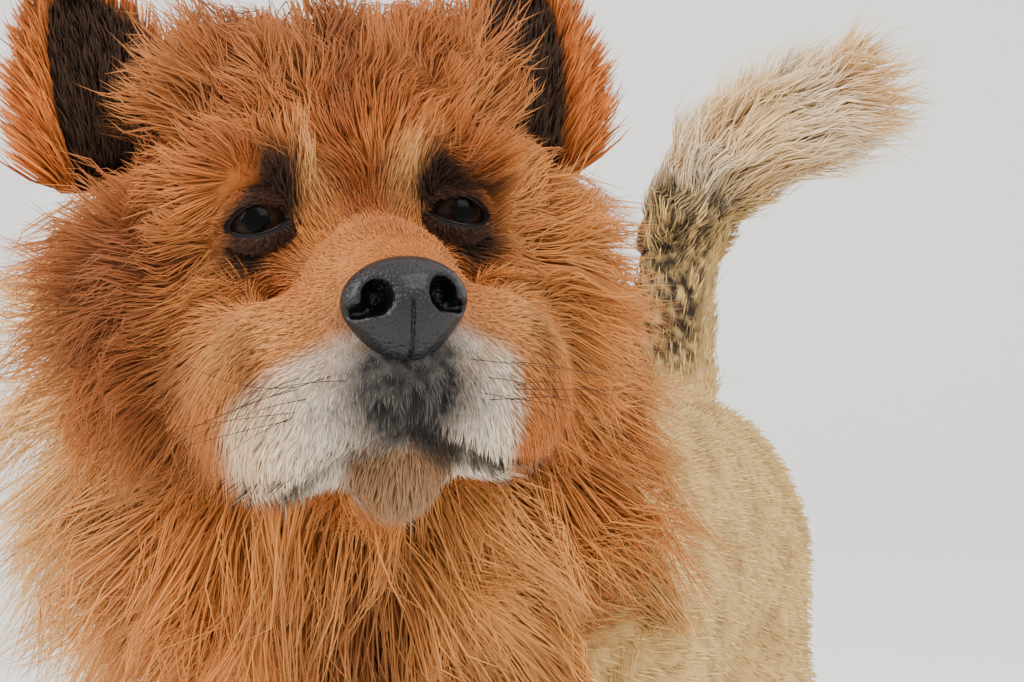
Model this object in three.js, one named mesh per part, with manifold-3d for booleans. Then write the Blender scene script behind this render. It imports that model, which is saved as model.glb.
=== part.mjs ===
// Chow chow standing in a lion clip: full mane, body and tail root clipped short, plumed tail tip.
// Millimetres, +Z up. The dog faces -Y, its left side is +X, and its soles stand on z = 0.
import * as THREE from "three";
import { mergeVertices } from "three/addons/utils/BufferGeometryUtils.js";
import Module from "manifold-3d";

const wasm = await Module();
wasm.setup();

// Driving dimensions
const WITHERS_HEIGHT = 505;
const CHEST_RADIUS = 112;
const EYE_SPACING = 84;
const EYE_RADIUS = 13.5;
const EYE_HEIGHT = 581;
const EYES_PLACE = [24, -314];
const HEAD_TURN = 37;
const HEAD_LIFT = 8;
const HEAD_ROLL = -3.7;
const STANCE_FRONT = 88;
const STANCE_BACK = 74;
const MEETING_GAP = 0.3;
const SOLE_LEVEL = 0;

const rad = THREE.MathUtils.degToRad;
const vec = (x, y, z) => new THREE.Vector3(x, y, z);
const mix = (a, b, t) => a + (b - a) * t;

// Repeatable random numbers, so that the locks vary alike on each build.
function seeded(seed) {
  let state = seed;
  return () => {
    state = (state * 16807) % 2147483647;
    return state / 2147483647;
  };
}

// Solids and meshes

function solidOf(geometry) {
  const g = geometry.clone();
  for (const name of Object.keys(g.attributes)) {
    if (name !== "position") g.deleteAttribute(name);
  }
  const merged = mergeVertices(g, 1e-3);
  const made = new wasm.Manifold(
    new wasm.Mesh({
      numProp: 3,
      vertProperties: new Float32Array(merged.attributes.position.array),
      triVerts: new Uint32Array(merged.index.array),
    }),
  );
  if (made.volume() > 0) return made;
  const index = merged.index.array;
  for (let i = 0; i < index.length; i += 3) {
    [index[i + 1], index[i + 2]] = [index[i + 2], index[i + 1]];
  }
  return solidOf(merged);
}

function geometryOf(solid) {
  const mesh = solid.getMesh();
  const places = new Float32Array(mesh.numVert * 3);
  for (let i = 0; i < mesh.numVert; i++) {
    places.set(mesh.vertProperties.subarray(i * mesh.numProp, i * mesh.numProp + 3), i * 3);
  }
  const g = new THREE.BufferGeometry();
  g.setAttribute("position", new THREE.BufferAttribute(places, 3));
  g.setIndex(new THREE.BufferAttribute(new Uint32Array(mesh.triVerts), 1));
  g.computeVertexNormals();
  return g;
}

const joined = (solids) => solids.reduce((a, b) => a.add(b));
const cutBy = (solid, cutters) => cutters.reduce((a, b) => a.subtract(b), solid);
const largest = (solid) => solid.decompose().sort((a, b) => b.volume() - a.volume())[0];

// A closed surface from rings of points; the first and last rings are single points.
function closedGrid(rings) {
  const count = rings[1].length;
  const places = [];
  const index = [];
  rings.forEach((ring) => ring.forEach((p) => places.push(p.x, p.y, p.z)));
  const at = (i, j) => {
    if (i === 0) return 0;
    if (i === rings.length - 1) return 1 + (rings.length - 2) * count;
    return 1 + (i - 1) * count + (j % count);
  };
  for (let i = 0; i < rings.length - 1; i++) {
    for (let j = 0; j < count; j++) {
      const corners = [at(i, j), at(i, j + 1), at(i + 1, j + 1), at(i + 1, j)];
      if (i > 0) index.push(corners[0], corners[1], corners[2]);
      if (i < rings.length - 2) index.push(corners[0], corners[2], corners[3]);
      if (i === 0) index.push(corners[0], corners[2], corners[3]);
    }
  }
  const g = new THREE.BufferGeometry();
  g.setAttribute("position", new THREE.BufferAttribute(new Float32Array(places), 3));
  g.setIndex(tidyIndex(index));
  return g;
}

// Triangles with a repeated corner are left out.
function tidyIndex(index) {
  const kept = [];
  const seen = new Set();
  for (let i = 0; i < index.length; i += 3) {
    const [a, b, c] = index.slice(i, i + 3);
    const key = [a, b, c].join();
    if (a === b || b === c || a === c || seen.has(key)) continue;
    seen.add(key);
    kept.push(a, b, c);
  }
  return kept;
}

// Rounded forms: a signed distance each, blended into one field

const egg = (c, r) => ({ c: vec(...c), r: vec(...r), form: "egg" });
const limb = (a, ra, b, rb, flat = 1) => ({ a: vec(...a), ra, b: vec(...b), rb, flat, form: "limb" });
const mirrored = (forms) => forms.map((f) => {
  const flip = (v) => [-v.x, v.y, v.z];
  if (f.form === "egg") return egg(flip(f.c), f.r.toArray());
  return limb(flip(f.a), f.ra, flip(f.b), f.rb, f.flat);
});
const bothSides = (forms) => [...forms, ...mirrored(forms)];

const scratch = vec(0, 0, 0);
const scratch2 = vec(0, 0, 0);

function distance(form, p) {
  if (form.form === "egg") {
    scratch.copy(p).sub(form.c).divide(form.r);
    const k0 = scratch.length();
    const k1 = scratch.divide(form.r).length();
    return k1 < 1e-9 ? -Math.min(form.r.x, form.r.y, form.r.z) : (k0 * (k0 - 1)) / k1;
  }
  scratch.copy(p).sub(form.a);
  scratch2.copy(form.b).sub(form.a);
  const t = THREE.MathUtils.clamp(scratch.dot(scratch2) / scratch2.lengthSq(), 0, 1);
  scratch.addScaledVector(scratch2, -t);
  scratch.x /= form.flat;
  return scratch.length() - mix(form.ra, form.rb, t);
}

function blended(forms, softness) {
  return (p) => {
    let d = distance(forms[0], p);
    for (let i = 1; i < forms.length; i++) {
      const e = distance(forms[i], p);
      const h = THREE.MathUtils.clamp(0.5 + (0.5 * (e - d)) / softness, 0, 1);
      d = mix(e, d, h) - softness * h * (1 - h);
    }
    return d;
  };
}

// How far a ray from inside runs before it leaves the field.
function reach(field, from, way, longest) {
  const p = vec(0, 0, 0);
  let low = 0;
  let high = 0;
  while (high < longest) {
    const d = field(p.copy(from).addScaledVector(way, high));
    if (d > 0) break;
    low = high;
    high += Math.max(1.5, -0.6 * d);
  }
  for (let i = 0; i < 14; i++) {
    const middle = (low + high) / 2;
    if (field(p.copy(from).addScaledVector(way, middle)) > 0) high = middle;
    else low = middle;
  }
  return low;
}

// A skin round a spine: rings across its length, and domes of tilted rays at its two ends.
// Options: rings along the spine, cap rings in each dome, sides, grow outwards, longest ray.
function skinned(field, spine, up, options) {
  const { rings, caps, sides, grow = 0, longest = 260 } = options;
  const curve = new THREE.CatmullRomCurve3(spine.map((p) => vec(...p)), false, "centripetal");
  const stations = [];
  for (let i = 1; i <= caps; i++) stations.push([0, -90 + (90 * i) / (caps + 1)]);
  for (let i = 0; i <= rings; i++) stations.push([i / rings, 0]);
  for (let i = 1; i <= caps; i++) stations.push([1, (90 * i) / (caps + 1)]);
  const pole = (t, sign) => {
    const from = curve.getPointAt(t);
    const way = curve.getTangentAt(t).multiplyScalar(sign);
    return [from.addScaledVector(way, reach(field, from, way, longest) + grow)];
  };
  const body = stations.map(([t, tilt]) => {
    const from = curve.getPointAt(t);
    const along = curve.getTangentAt(t);
    const side = vec(...up).cross(along).normalize();
    const top = along.clone().cross(side).normalize();
    return Array.from({ length: sides }, (_, j) => {
      const turn = (2 * Math.PI * j) / sides;
      const way = side.clone().multiplyScalar(Math.cos(turn)).addScaledVector(top, Math.sin(turn));
      way.multiplyScalar(Math.cos(rad(tilt))).addScaledVector(along, Math.sin(rad(tilt)));
      return from.clone().addScaledVector(way, reach(field, from, way, longest) + grow);
    });
  });
  return solidOf(closedGrid([pole(0, -1), ...body, pole(1, 1)]));
}

// The head's own frame: origin midway between the eyes, its nose towards -Y.
const headPlace = new THREE.Matrix4()
  .makeTranslation(EYES_PLACE[0], EYES_PLACE[1], EYE_HEIGHT)
  .multiply(new THREE.Matrix4().makeRotationZ(rad(HEAD_TURN)))
  .multiply(new THREE.Matrix4().makeRotationX(rad(-HEAD_LIFT)))
  .multiply(new THREE.Matrix4().makeRotationY(rad(HEAD_ROLL)));
const ofHead = (x, y, z) => vec(x, y, z).applyMatrix4(headPlace);
const inHeadPlace = (solid) => solidOf(geometryOf(solid).applyMatrix4(headPlace));

// A large box whose one face holds a point and looks back along -way: all that lies ahead.
function ahead(point, way, grow = 0, size = [900, 900, 900]) {
  const box = new THREE.BoxGeometry(...size);
  const turn = new THREE.Quaternion().setFromUnitVectors(vec(0, 0, 1), way.clone().normalize());
  const centre = point.clone().addScaledVector(way.clone().normalize(), size[2] / 2 - grow);
  box.applyQuaternion(turn);
  box.translate(centre.x, centre.y, centre.z);
  return solidOf(box);
}

// Body forms

const SHOULDER = [78, -140, 372];
const ELBOW = [STANCE_FRONT, -98, 270];
const WRIST = [STANCE_FRONT + 2, -112, 110];
const FRONT_PASTERN = [STANCE_FRONT + 2, -120, 48];
const HIP = [46, 168, 385];
const STIFLE = [STANCE_BACK + 2, 128, 262];
const HOCK = [STANCE_BACK, 212, 148];
const BACK_PASTERN = [STANCE_BACK, 200, 52];

const trunkForms = [
  limb([0, -122, WITHERS_HEIGHT - 133], CHEST_RADIUS, [0, 70, 390], 104, 0.94),
  limb([0, 70, 392], 102, [0, 186, 400], 94, 0.96),
  egg([0, -118, WITHERS_HEIGHT - 70], [70, 92, 68]),
  egg([0, 205, 398], [80, 68, 92]),
  egg([0, -205, 345], [74, 48, 72]),
];
const foreForms = [
  egg([84, -146, 372], [38, 62, 96]),
  limb([82, -140, 350], 50, ELBOW, 41),
  limb(ELBOW, 40, WRIST, 31),
  limb(WRIST, 32, FRONT_PASTERN, 30),
];
const hindForms = [
  egg([52, 168, 368], [44, 84, 104]),
  limb(HIP, 63, STIFLE, 53),
  limb(STIFLE, 51, HOCK, 33),
  limb(HOCK, 31, BACK_PASTERN, 28),
];
const neckForms = [
  limb([-14, -150, 400], 100, [-30, -205, 510], 98),
  limb([-30, -205, 510], 98, [-34, -228, 580], 94),
  egg([-8, -232, 380], [80, 50, 92]),
];

const torsoField = blended([...trunkForms, ...bothSides(foreForms), ...bothSides(hindForms)], 34);

function torsoSkin(grow = 0) {
  const spine = [[0, -170, 372], [0, -60, 375], [0, 60, 388], [0, 200, 398]];
  return skinned(torsoField, spine, [0, 0, 1], { rings: 15, caps: 4, sides: 24, grow });
}

// Planes where the legs and the neck part from the trunk
const LEG_CUT = vec(0.85, 0, -0.53);
const HIND_FLANK = { point: vec(0, 56, 262), way: vec(0, 0.956, -0.294) };
const FORE_FLANK = { point: vec(0, -46, 262), way: vec(0, -0.965, -0.263) };
function legRegion(side, hind, grow = 0) {
  const point = hind ? vec(40 * side, 165, 330) : vec(62 * side, -135, 305);
  const way = vec(LEG_CUT.x * side, 0, LEG_CUT.z).normalize();
  const size = [900, 900, 420];
  const half = ahead(point, way, grow, size);
  const flank = hind ? HIND_FLANK : FORE_FLANK;
  return half.intersect(ahead(flank.point, flank.way, grow));
}

function legSkin(side, hind) {
  const forms = hind ? hindForms : foreForms;
  const own = side > 0 ? forms : mirrored(forms);
  const field = blended([...trunkForms, ...own], 34);
  const joints = hind ? [HIP, STIFLE, HOCK, BACK_PASTERN] : [SHOULDER, ELBOW, WRIST, FRONT_PASTERN];
  const spine = joints.map(([x, y, z]) => [x * side, y, z]);
  return skinned(field, spine, [0, -1, 0.2], { rings: 12, caps: 2, sides: 14, longest: 150 });
}

// Paws: a pad, four toes and four short claws, flat underneath
const PAW_TOP = 40;
const TOE_SPREAD = [-27, -10, 10, 27];
const TOE_FORWARD = [20, 32, 32, 20];

function ball(centre, radii, around = 8, down = 6) {
  const g = new THREE.SphereGeometry(1, around, down);
  g.scale(...radii);
  g.translate(...centre);
  return solidOf(g);
}

function claw(x, y, z) {
  const g = new THREE.ConeGeometry(4.5, 17, 4);
  g.rotateX(rad(113));
  g.translate(x, y, z);
  return solidOf(g);
}

function below(level) {
  const g = new THREE.BoxGeometry(1600, 1600, 800);
  g.translate(0, 0, level - 400);
  return solidOf(g);
}

function paw(side, hind, leg) {
  const [px, py] = hind ? BACK_PASTERN : FRONT_PASTERN;
  const x = px * side;
  const y = py - (hind ? 10 : 12);
  const pad = ball([x, y, 22], [37, 40, 27], 9, 5);
  const toes = TOE_SPREAD.map((spread, i) => ball([x + spread, y - TOE_FORWARD[i], 16], [14, 22, 18], 6, 5));
  const claws = TOE_SPREAD.map((spread, i) => claw(x + spread * 1.1, y - TOE_FORWARD[i] - 24, 9));
  const whole = joined([pad, ...toes, ...claws, leg]);
  return largest(whole.intersect(below(PAW_TOP - MEETING_GAP)).subtract(below(SOLE_LEVEL)));
}

// The tail: clipped close at the root, carried up, then bent to the left with a full plume
const TAIL_POINTS = [
  [0, 205, 462],
  [-4, 236, 500],
  [-8, 248, 542],
  [0, 259, 606],
  [22, 264, 646],
  [62, 266, 684],
  [112, 268, 710],
];
const TAIL_RADII = [38, 37, 36, 33, 36, 38, 24];
const PLUME_START = 0.56;

function tailField() {
  const forms = [];
  for (let i = 0; i < TAIL_POINTS.length - 1; i++) {
    forms.push(limb(TAIL_POINTS[i], TAIL_RADII[i], TAIL_POINTS[i + 1], TAIL_RADII[i + 1]));
  }
  return blended(forms, 12);
}

function tailSkin() {
  return skinned(tailField(), TAIL_POINTS, [1, 0, 0.2], { rings: 14, caps: 2, sides: 12, longest: 60 });
}

// A lock: a flat tapered blade along a bent line, its root sunk in what it grows from.
// place is its root, out and lie its first and last directions; its flat side looks between them.
const LOCK_STEPS = [-0.14, 0.2, 0.52, 0.8];
const LOCK_WIDTHS = [0.7, 1, 0.96, 0.58];
const LOCK_THICKNESSES = [0.8, 1, 0.85, 0.5];

function lock(place, out, lie, length, width, thickness) {
  const at = (t) => {
    const bend = Math.max(t, 0);
    const way = out.clone().multiplyScalar(t - 0.5 * bend * bend);
    return place.clone().addScaledVector(way.addScaledVector(lie, 0.5 * bend * bend), length);
  };
  const along = out.clone().add(lie).normalize();
  const across = along.clone().cross(out.clone().sub(lie)).normalize();
  const rings = LOCK_STEPS.map((t, i) => {
    const middle = at(t);
    const tangent = at(t + 0.02).sub(at(t - 0.02)).normalize();
    const flat = across.clone().cross(tangent).normalize();
    const w = 0.5 * width * LOCK_WIDTHS[i];
    const h = 0.5 * thickness * LOCK_THICKNESSES[i];
    return [
      middle.clone().addScaledVector(across, w),
      middle.clone().addScaledVector(flat, h),
      middle.clone().addScaledVector(across, -w),
      middle.clone().addScaledVector(flat, -h),
    ];
  });
  return solidOf(closedGrid([[at(LOCK_STEPS[0])], ...rings, [at(1)]]));
}

// The mane: rows of locks from the face ring back to the shoulders
const MANE_ROWS = 5;
const MANE_SIDES = [14, 13, 13, 13, 13];
const FACE_CUT_POINT = ofHead(0, 60, -20);
const FACE_CUT_WAY = ofHead(0, -0.8, 0.6).sub(ofHead(0, 0, 0)).normalize();
const NECK_CUT_POINT = vec(0, -104, 505);
const NECK_CUT_WAY = vec(-0.33, -0.76, 0.56).normalize();
const NECK_WAY = vec(0.1, 0.42, -0.9).normalize();
const MANE_FRONT = ofHead(0, 69, -27);
const MANE_BACK = vec(-10, -162, 452);
const neckField = blended([...neckForms, ...trunkForms, ...bothSides(foreForms)], 34);

function neckSkin(grow = 0) {
  const spine = [[0, -196, 392], [-12, -212, 470], [-28, -226, 540], [-30, -232, 580]];
  return skinned(neckField, spine, [0, 1, 0.3], { rings: 9, caps: 3, sides: 22, grow });
}

function maneRow(row, random) {
  const s = row / (MANE_ROWS - 1);
  const centre = MANE_FRONT.clone().lerp(MANE_BACK, s);
  const back = FACE_CUT_WAY.clone().negate().lerp(NECK_CUT_WAY.clone().negate(), s).normalize();
  const side = vec(1, 0, 0).addScaledVector(back, -back.x).normalize();
  const top = side.clone().cross(back).normalize();
  const count = MANE_SIDES[row];
  const locks = [];
  for (let j = 0; j < count; j++) {
    const turn = (2 * Math.PI * (j + 0.5 * (row % 2) + 0.16 * (random() - 0.5))) / count;
    const radial = side.clone().multiplyScalar(Math.cos(turn)).addScaledVector(top, Math.sin(turn));
    const root = centre.clone().addScaledVector(radial, reach(neckField, centre, radial, 260));
    const underneath = Math.max(0, -radial.z);
    const fuller = 1 + 0.45 * Math.max(0, -radial.x) - 0.25 * s * Math.max(0, radial.x);
    const flare = fuller * (mix(0.95, 0.5, s) + 0.14 * (j % 2));
    const out = radial.clone().multiplyScalar(flare).addScaledVector(NECK_WAY, mix(0.35, 0.6, s)).normalize();
    const lie = radial.clone().multiplyScalar(fuller * mix(0.5, 0.25, s)).addScaledVector(NECK_WAY, 0.9);
    lie.normalize();
    const length = mix(98, 114, s) * (1 + 0.12 * (random() - 0.5)) + 18 * underneath;
    const girth = (2 * Math.PI * 132) / count;
    locks.push(lock(root, out, lie, length, girth * 1.15, 15));
  }
  return locks;
}

function maneLocks() {
  const random = seeded(4321);
  const rows = [];
  for (let row = 0; row < MANE_ROWS; row++) rows.push(...maneRow(row, random));
  return rows;
}

// The plume: locks that leave the tail's line all round and lie towards its tip
const PLUME_ROWS = 5;
const PLUME_SIDES = 5;

function plumeLocks() {
  const random = seeded(99);
  const curve = new THREE.CatmullRomCurve3(TAIL_POINTS.map((p) => vec(...p)), false, "centripetal");
  const field = tailField();
  const locks = [];
  for (let row = 0; row < PLUME_ROWS; row++) {
    const t = mix(0.55, 0.97, row / (PLUME_ROWS - 1));
    const centre = curve.getPointAt(t);
    const along = curve.getTangentAt(t);
    const side = vec(0, 1, 0).cross(along).normalize();
    const top = along.clone().cross(side).normalize();
    for (let j = 0; j < PLUME_SIDES; j++) {
      const turn = (2 * Math.PI * (j + 0.5 * (row % 2) + 0.2 * (random() - 0.5))) / PLUME_SIDES;
      const radial = side.clone().multiplyScalar(Math.cos(turn)).addScaledVector(top, Math.sin(turn));
      const root = centre.clone().addScaledVector(radial, reach(field, centre, radial, 60));
      const out = radial.clone().multiplyScalar(0.62).addScaledVector(along, 0.75).normalize();
      const lie = out.clone().addScaledVector(along, 0.8).add(vec(0, 0, -0.15)).normalize();
      locks.push(lock(root, out, lie, mix(64, 56, row / PLUME_ROWS) * (1 + 0.2 * (random() - 0.5)), 54, 13));
    }
  }
  return locks;
}

// The head, in its own frame
const eyeX = EYE_SPACING / 2;
const headForms = [
  egg([0, 56, 28], [96, 85, 76]),
  egg([0, 16, 46], [64, 46, 46]),
  ...bothSides([
    egg([50, 58, 56], [52, 62, 51]),
    egg([36, -2, 27], [26, 20, 14]),
    egg([66, 52, -30], [62, 60, 72]),
    egg([38, -30, -72], [38, 46, 40]),
  ]),
  limb([0, 8, -24], 38, [0, -50, -42], 33),
  egg([0, -58, -70], [36, 26, 34]),
  limb([0, 40, -90], 34, [0, -38, -104], 21),
];
const sockets = bothSides([egg([eyeX + 1, -28, -1], [25, 25, 19])]);
const NOSE_CENTRE = [0, -80, -48];
const NOSE_RADII = [23.5, 17, 17.5];

function headField(p) {
  const solid = blended(headForms, 16)(p);
  const hollow = Math.min(...sockets.map((s) => distance(s, p)));
  const softness = 8;
  const h = THREE.MathUtils.clamp(0.5 - (0.5 * (solid + hollow)) / softness, 0, 1);
  return mix(solid, -hollow, h) + softness * h * (1 - h);
}

function headSkin(grow = 0) {
  const spine = [[0, 62, 10], [0, 20, -6], [0, -20, -46], [0, -44, -64]];
  return skinned(headField, spine, [0, 0, 1], { rings: 12, caps: 5, sides: 28, longest: 200, grow });
}

// One eyelid ring: a soft rim round the almond opening, hugging the eyeball
const eyeCentre = (side) => [side * eyeX, 1, 0];
function lidRing(side) {
  const [cx, cy, cz] = eyeCentre(side);
  const rings = [];
  const around = 16;
  for (let i = 0; i < around; i++) {
    const turn = (2 * Math.PI * i) / around;
    const openX = 0.80 * Math.cos(turn);
    const openZ = (Math.sin(turn) > 0 ? 0.50 : 0.42) * Math.sin(turn) - 0.06 * Math.cos(turn) * 1.6;
    const radial = vec(openX * side, 0, openZ);
    radial.y = -Math.sqrt(Math.max(0.05, 1 - radial.lengthSq()));
    radial.normalize();
    const outwards = vec(radial.x, 0, radial.z).normalize();
    const near = EYE_RADIUS + MEETING_GAP + 0.1;
    const section = [[near, 0], [near + 3.2, 0.6], [near + 3.4, 4.6], [near - 1, 8.5], [near - 5, 4]];
    rings.push(section.map(([r, w]) => vec(cx, cy, cz).addScaledVector(radial, r).addScaledVector(outwards, w)));
  }
  const places = rings.flat().flatMap((p) => [p.x, p.y, p.z]);
  const index = [];
  const n = rings[0].length;
  for (let i = 0; i < around; i++) {
    for (let k = 0; k < n; k++) {
      const a = i * n + k;
      const b = i * n + ((k + 1) % n);
      const c = ((i + 1) % around) * n + ((k + 1) % n);
      const d = ((i + 1) % around) * n + k;
      index.push(a, b, c, a, c, d);
    }
  }
  const g = new THREE.BufferGeometry();
  g.setAttribute("position", new THREE.BufferAttribute(new Float32Array(places), 3));
  g.setIndex(index);
  return solidOf(g);
}

function eyeball(side, grow = 0) {
  const r = EYE_RADIUS + grow;
  return ball(eyeCentre(side), [r, r, r], 12, 8);
}

// The nose leather with two comma-shaped nostrils and the groove between them
function nose(grow = 0) {
  const forms = [
    egg(NOSE_CENTRE, NOSE_RADII),
    egg([0, -72, -60], [15, 15, 17]),
  ];
  const field = blended(forms, 8);
  const spine = [[0, -70, -58], [0, -76, -50], [0, -80, -45]];
  return skinned(field, spine, [0, -1, 0], { rings: 3, caps: 4, sides: 14, grow, longest: 60 });
}

function nostrils() {
  const pits = [-1, 1].flatMap((side) => [
    ball([side * 10.5, -96, -47], [5.2, 9, 6.2], 8, 5),
    ball([side * 17, -90, -51], [6, 9, 2.6], 8, 4),
  ]);
  const groove = new THREE.BoxGeometry(1.4, 7, 60);
  groove.rotateX(rad(14));
  groove.translate(0, -97, -58);
  return [...pits, solidOf(groove)];
}

// The line of the mouth: a thin wedge swept under the flews on each side, cut into the muzzle
function mouthCut() {
  const line = [[0, -84, -84], [9, -82, -92], [22, -76, -103], [38, -60, -110], [54, -34, -108], [66, -6, -98]];
  return [-1, 1].map((side) => {
    const curve = new THREE.CatmullRomCurve3(line.map(([x, y, z]) => vec(x * side, y, z)));
    const steps = 10;
    const rings = [];
    for (let i = 0; i <= steps; i++) {
      const p = curve.getPointAt(i / steps);
      const inward = vec(-p.x * 0.5, 30 - p.y, -40 - p.z).normalize();
      const tangent = curve.getTangentAt(i / steps);
      const across = tangent.clone().cross(inward).normalize();
      const from = p.clone().addScaledVector(inward, -14);
      rings.push([
        from.clone().addScaledVector(across, 3.6),
        from.clone().addScaledVector(inward, 25),
        from.clone().addScaledVector(across, -3.6),
      ]);
    }
    const first = rings[0].reduce((a, b) => a.clone().add(b)).divideScalar(3);
    const last = rings[steps].reduce((a, b) => a.clone().add(b)).divideScalar(3);
    return solidOf(closedGrid([[first], ...rings, [last]]));
  });
}

// An ear: a thick rounded triangle, its back domed and its front hollowed to a cup
const EAR_ROOT = [86, 64, 38];
const EAR_HEIGHT = 98;
const EAR_HALF_WIDTH = 39;
const EAR_LEVELS = 8;
const EAR_ACROSS = 8;
const EAR_DOME = 17;
const EAR_CUP = 15;
const EAR_RIM = 9;

function ear(side, grow = 0) {
  const rings = [];
  for (let i = 0; i < EAR_LEVELS; i++) {
    const v = i / EAR_LEVELS;
    const half = EAR_HALF_WIDTH * Math.pow(1 - v * v, 0.62) + grow;
    const ring = [];
    for (let j = 0; j < 2 * EAR_ACROSS; j++) {
      const back = j < EAR_ACROSS;
      const u = back ? 1 - (2 * j) / EAR_ACROSS : (2 * j) / EAR_ACROSS - 3;
      const bow = 1 - u * u;
      const y = back
        ? EAR_DOME * bow + 0.5 * EAR_RIM + grow
        : EAR_CUP * bow * (1 - 0.5 * v) - 0.5 * EAR_RIM - grow;
      ring.push(vec(u * half, y + 10 * v * v, v * EAR_HEIGHT - (i ? 0 : grow)));
    }
    rings.push(ring);
  }
  const middle = (ring) => [ring.reduce((a, b) => a.clone().add(b)).divideScalar(ring.length)];
  const g = closedGrid([middle(rings[0]), ...rings, [vec(0, 14, EAR_HEIGHT + grow)]]);
  g.applyMatrix4(new THREE.Matrix4().makeRotationX(rad(-4)));
  g.applyMatrix4(new THREE.Matrix4().makeRotationY(rad(14)));
  g.applyMatrix4(new THREE.Matrix4().makeRotationZ(rad(-10)));
  g.translate(...EAR_ROOT);
  if (side < 0) g.scale(-1, 1, 1);
  return solidOf(g);
}

// Assembly

const torsoCutters = (grow) => [
  legRegion(1, false, grow), legRegion(-1, false, grow),
  legRegion(1, true, grow), legRegion(-1, true, grow),
  ahead(NECK_CUT_POINT, NECK_CUT_WAY, grow),
];

function build() {
  const gap = MEETING_GAP;
  const made = {};
  made.torso = largest(cutBy(torsoSkin(), torsoCutters(gap)));
  const torsoRoom = cutBy(torsoSkin(gap), torsoCutters(0));
  for (const [name, side] of [["left", 1], ["right", -1]]) {
    for (const hind of [false, true]) {
      const skin = legSkin(side, hind);
      const part = hind ? "hindleg_" : "foreleg_";
      let leg = skin.intersect(legRegion(side, hind)).subtract(below(PAW_TOP));
      if (!hind) leg = leg.subtract(ahead(NECK_CUT_POINT, NECK_CUT_WAY, gap));
      made[part + name] = largest(leg);
      made[(hind ? "hindpaw_" : "forepaw_") + name] = paw(side, hind, skin);
    }
  }
  const [left, right] = [1, -1].map((side) => eyeball(side));
  made.eye_left = inHeadPlace(left);
  made.eye_right = inHeadPlace(right);
  made.nose = inHeadPlace(cutBy(nose(), nostrils()));
  const skullRoom = headSkin(1.5 * gap);
  made.ear_left = largest(inHeadPlace(ear(1).subtract(skullRoom)));
  made.ear_right = largest(inHeadPlace(ear(-1).subtract(skullRoom)));
  const headRoom = [eyeball(1, gap), eyeball(-1, gap), nose(gap)];
  const headWhole = joined([headSkin(), lidRing(1), lidRing(-1)]);
  const head = inHeadPlace(cutBy(headWhole, [...headRoom, ...mouthCut()]));
  made.head = largest(head.intersect(ahead(FACE_CUT_POINT, FACE_CUT_WAY)));

  const neckCore = neckSkin().intersect(ahead(NECK_CUT_POINT, NECK_CUT_WAY));
  const legRoom = [1, -1].map((side) =>
    legSkin(side, false).intersect(legRegion(side, false, gap)).subtract(ahead(NECK_CUT_POINT, NECK_CUT_WAY)));
  const faceSide = ahead(FACE_CUT_POINT, FACE_CUT_WAY, gap);
  const mane = joined([neckCore, ...maneLocks()]);
  const earRoom = [1, -1].map((side) => inHeadPlace(ear(side, 3)));
  made.neck = largest(cutBy(mane, [faceSide, torsoRoom, ...legRoom, ...earRoom]));

  const tail = tailSkin();
  const curve = new THREE.CatmullRomCurve3(TAIL_POINTS.map((p) => vec(...p)), false, "centripetal");
  const plumePoint = curve.getPointAt(PLUME_START);
  const plumeWay = curve.getTangentAt(PLUME_START);
  made.tail = largest(tail.subtract(torsoRoom).subtract(ahead(plumePoint, plumeWay, gap)));
  made.tail_plume = largest(joined([tail, ...plumeLocks()]).intersect(ahead(plumePoint, plumeWay)));
  return made;
}

const COLOURS = {
  torso: 0xb98f60, neck: 0xb06a30, head: 0xb5713a, tail: 0x8f7a64, tail_plume: 0xd0b285,
  nose: 0x1d1e22, eye_left: 0x120c09, eye_right: 0x120c09, ear_left: 0x8f5128, ear_right: 0x8f5128,
};

const dog = new THREE.Group();
for (const [name, solid] of Object.entries(build())) {
  const material = new THREE.MeshStandardMaterial({ color: COLOURS[name] ?? 0xb98f60, roughness: 0.85 });
  const mesh = new THREE.Mesh(geometryOf(solid), material);
  mesh.name = name;
  dog.add(mesh);
}

// The frame's origin is the middle of the whole dog's box, level with the soles.
const middle = new THREE.Box3().setFromObject(dog).getCenter(vec(0, 0, 0));
dog.children.forEach((mesh) => mesh.position.set(-middle.x, -middle.y, 0));

export default dog;
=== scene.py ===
"""The dressed chow chow: one skin over the solids, with its coat built as solid mesh tufts.

All forms repeat the named values of the solids, in millimetres, in the dog's own design frame
(it faces -Y, its left side is +X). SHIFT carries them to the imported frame, in metres.
"""

import math

import bpy
import numpy as np
from mathutils import Matrix, Vector
from mathutils.kdtree import KDTree


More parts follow.
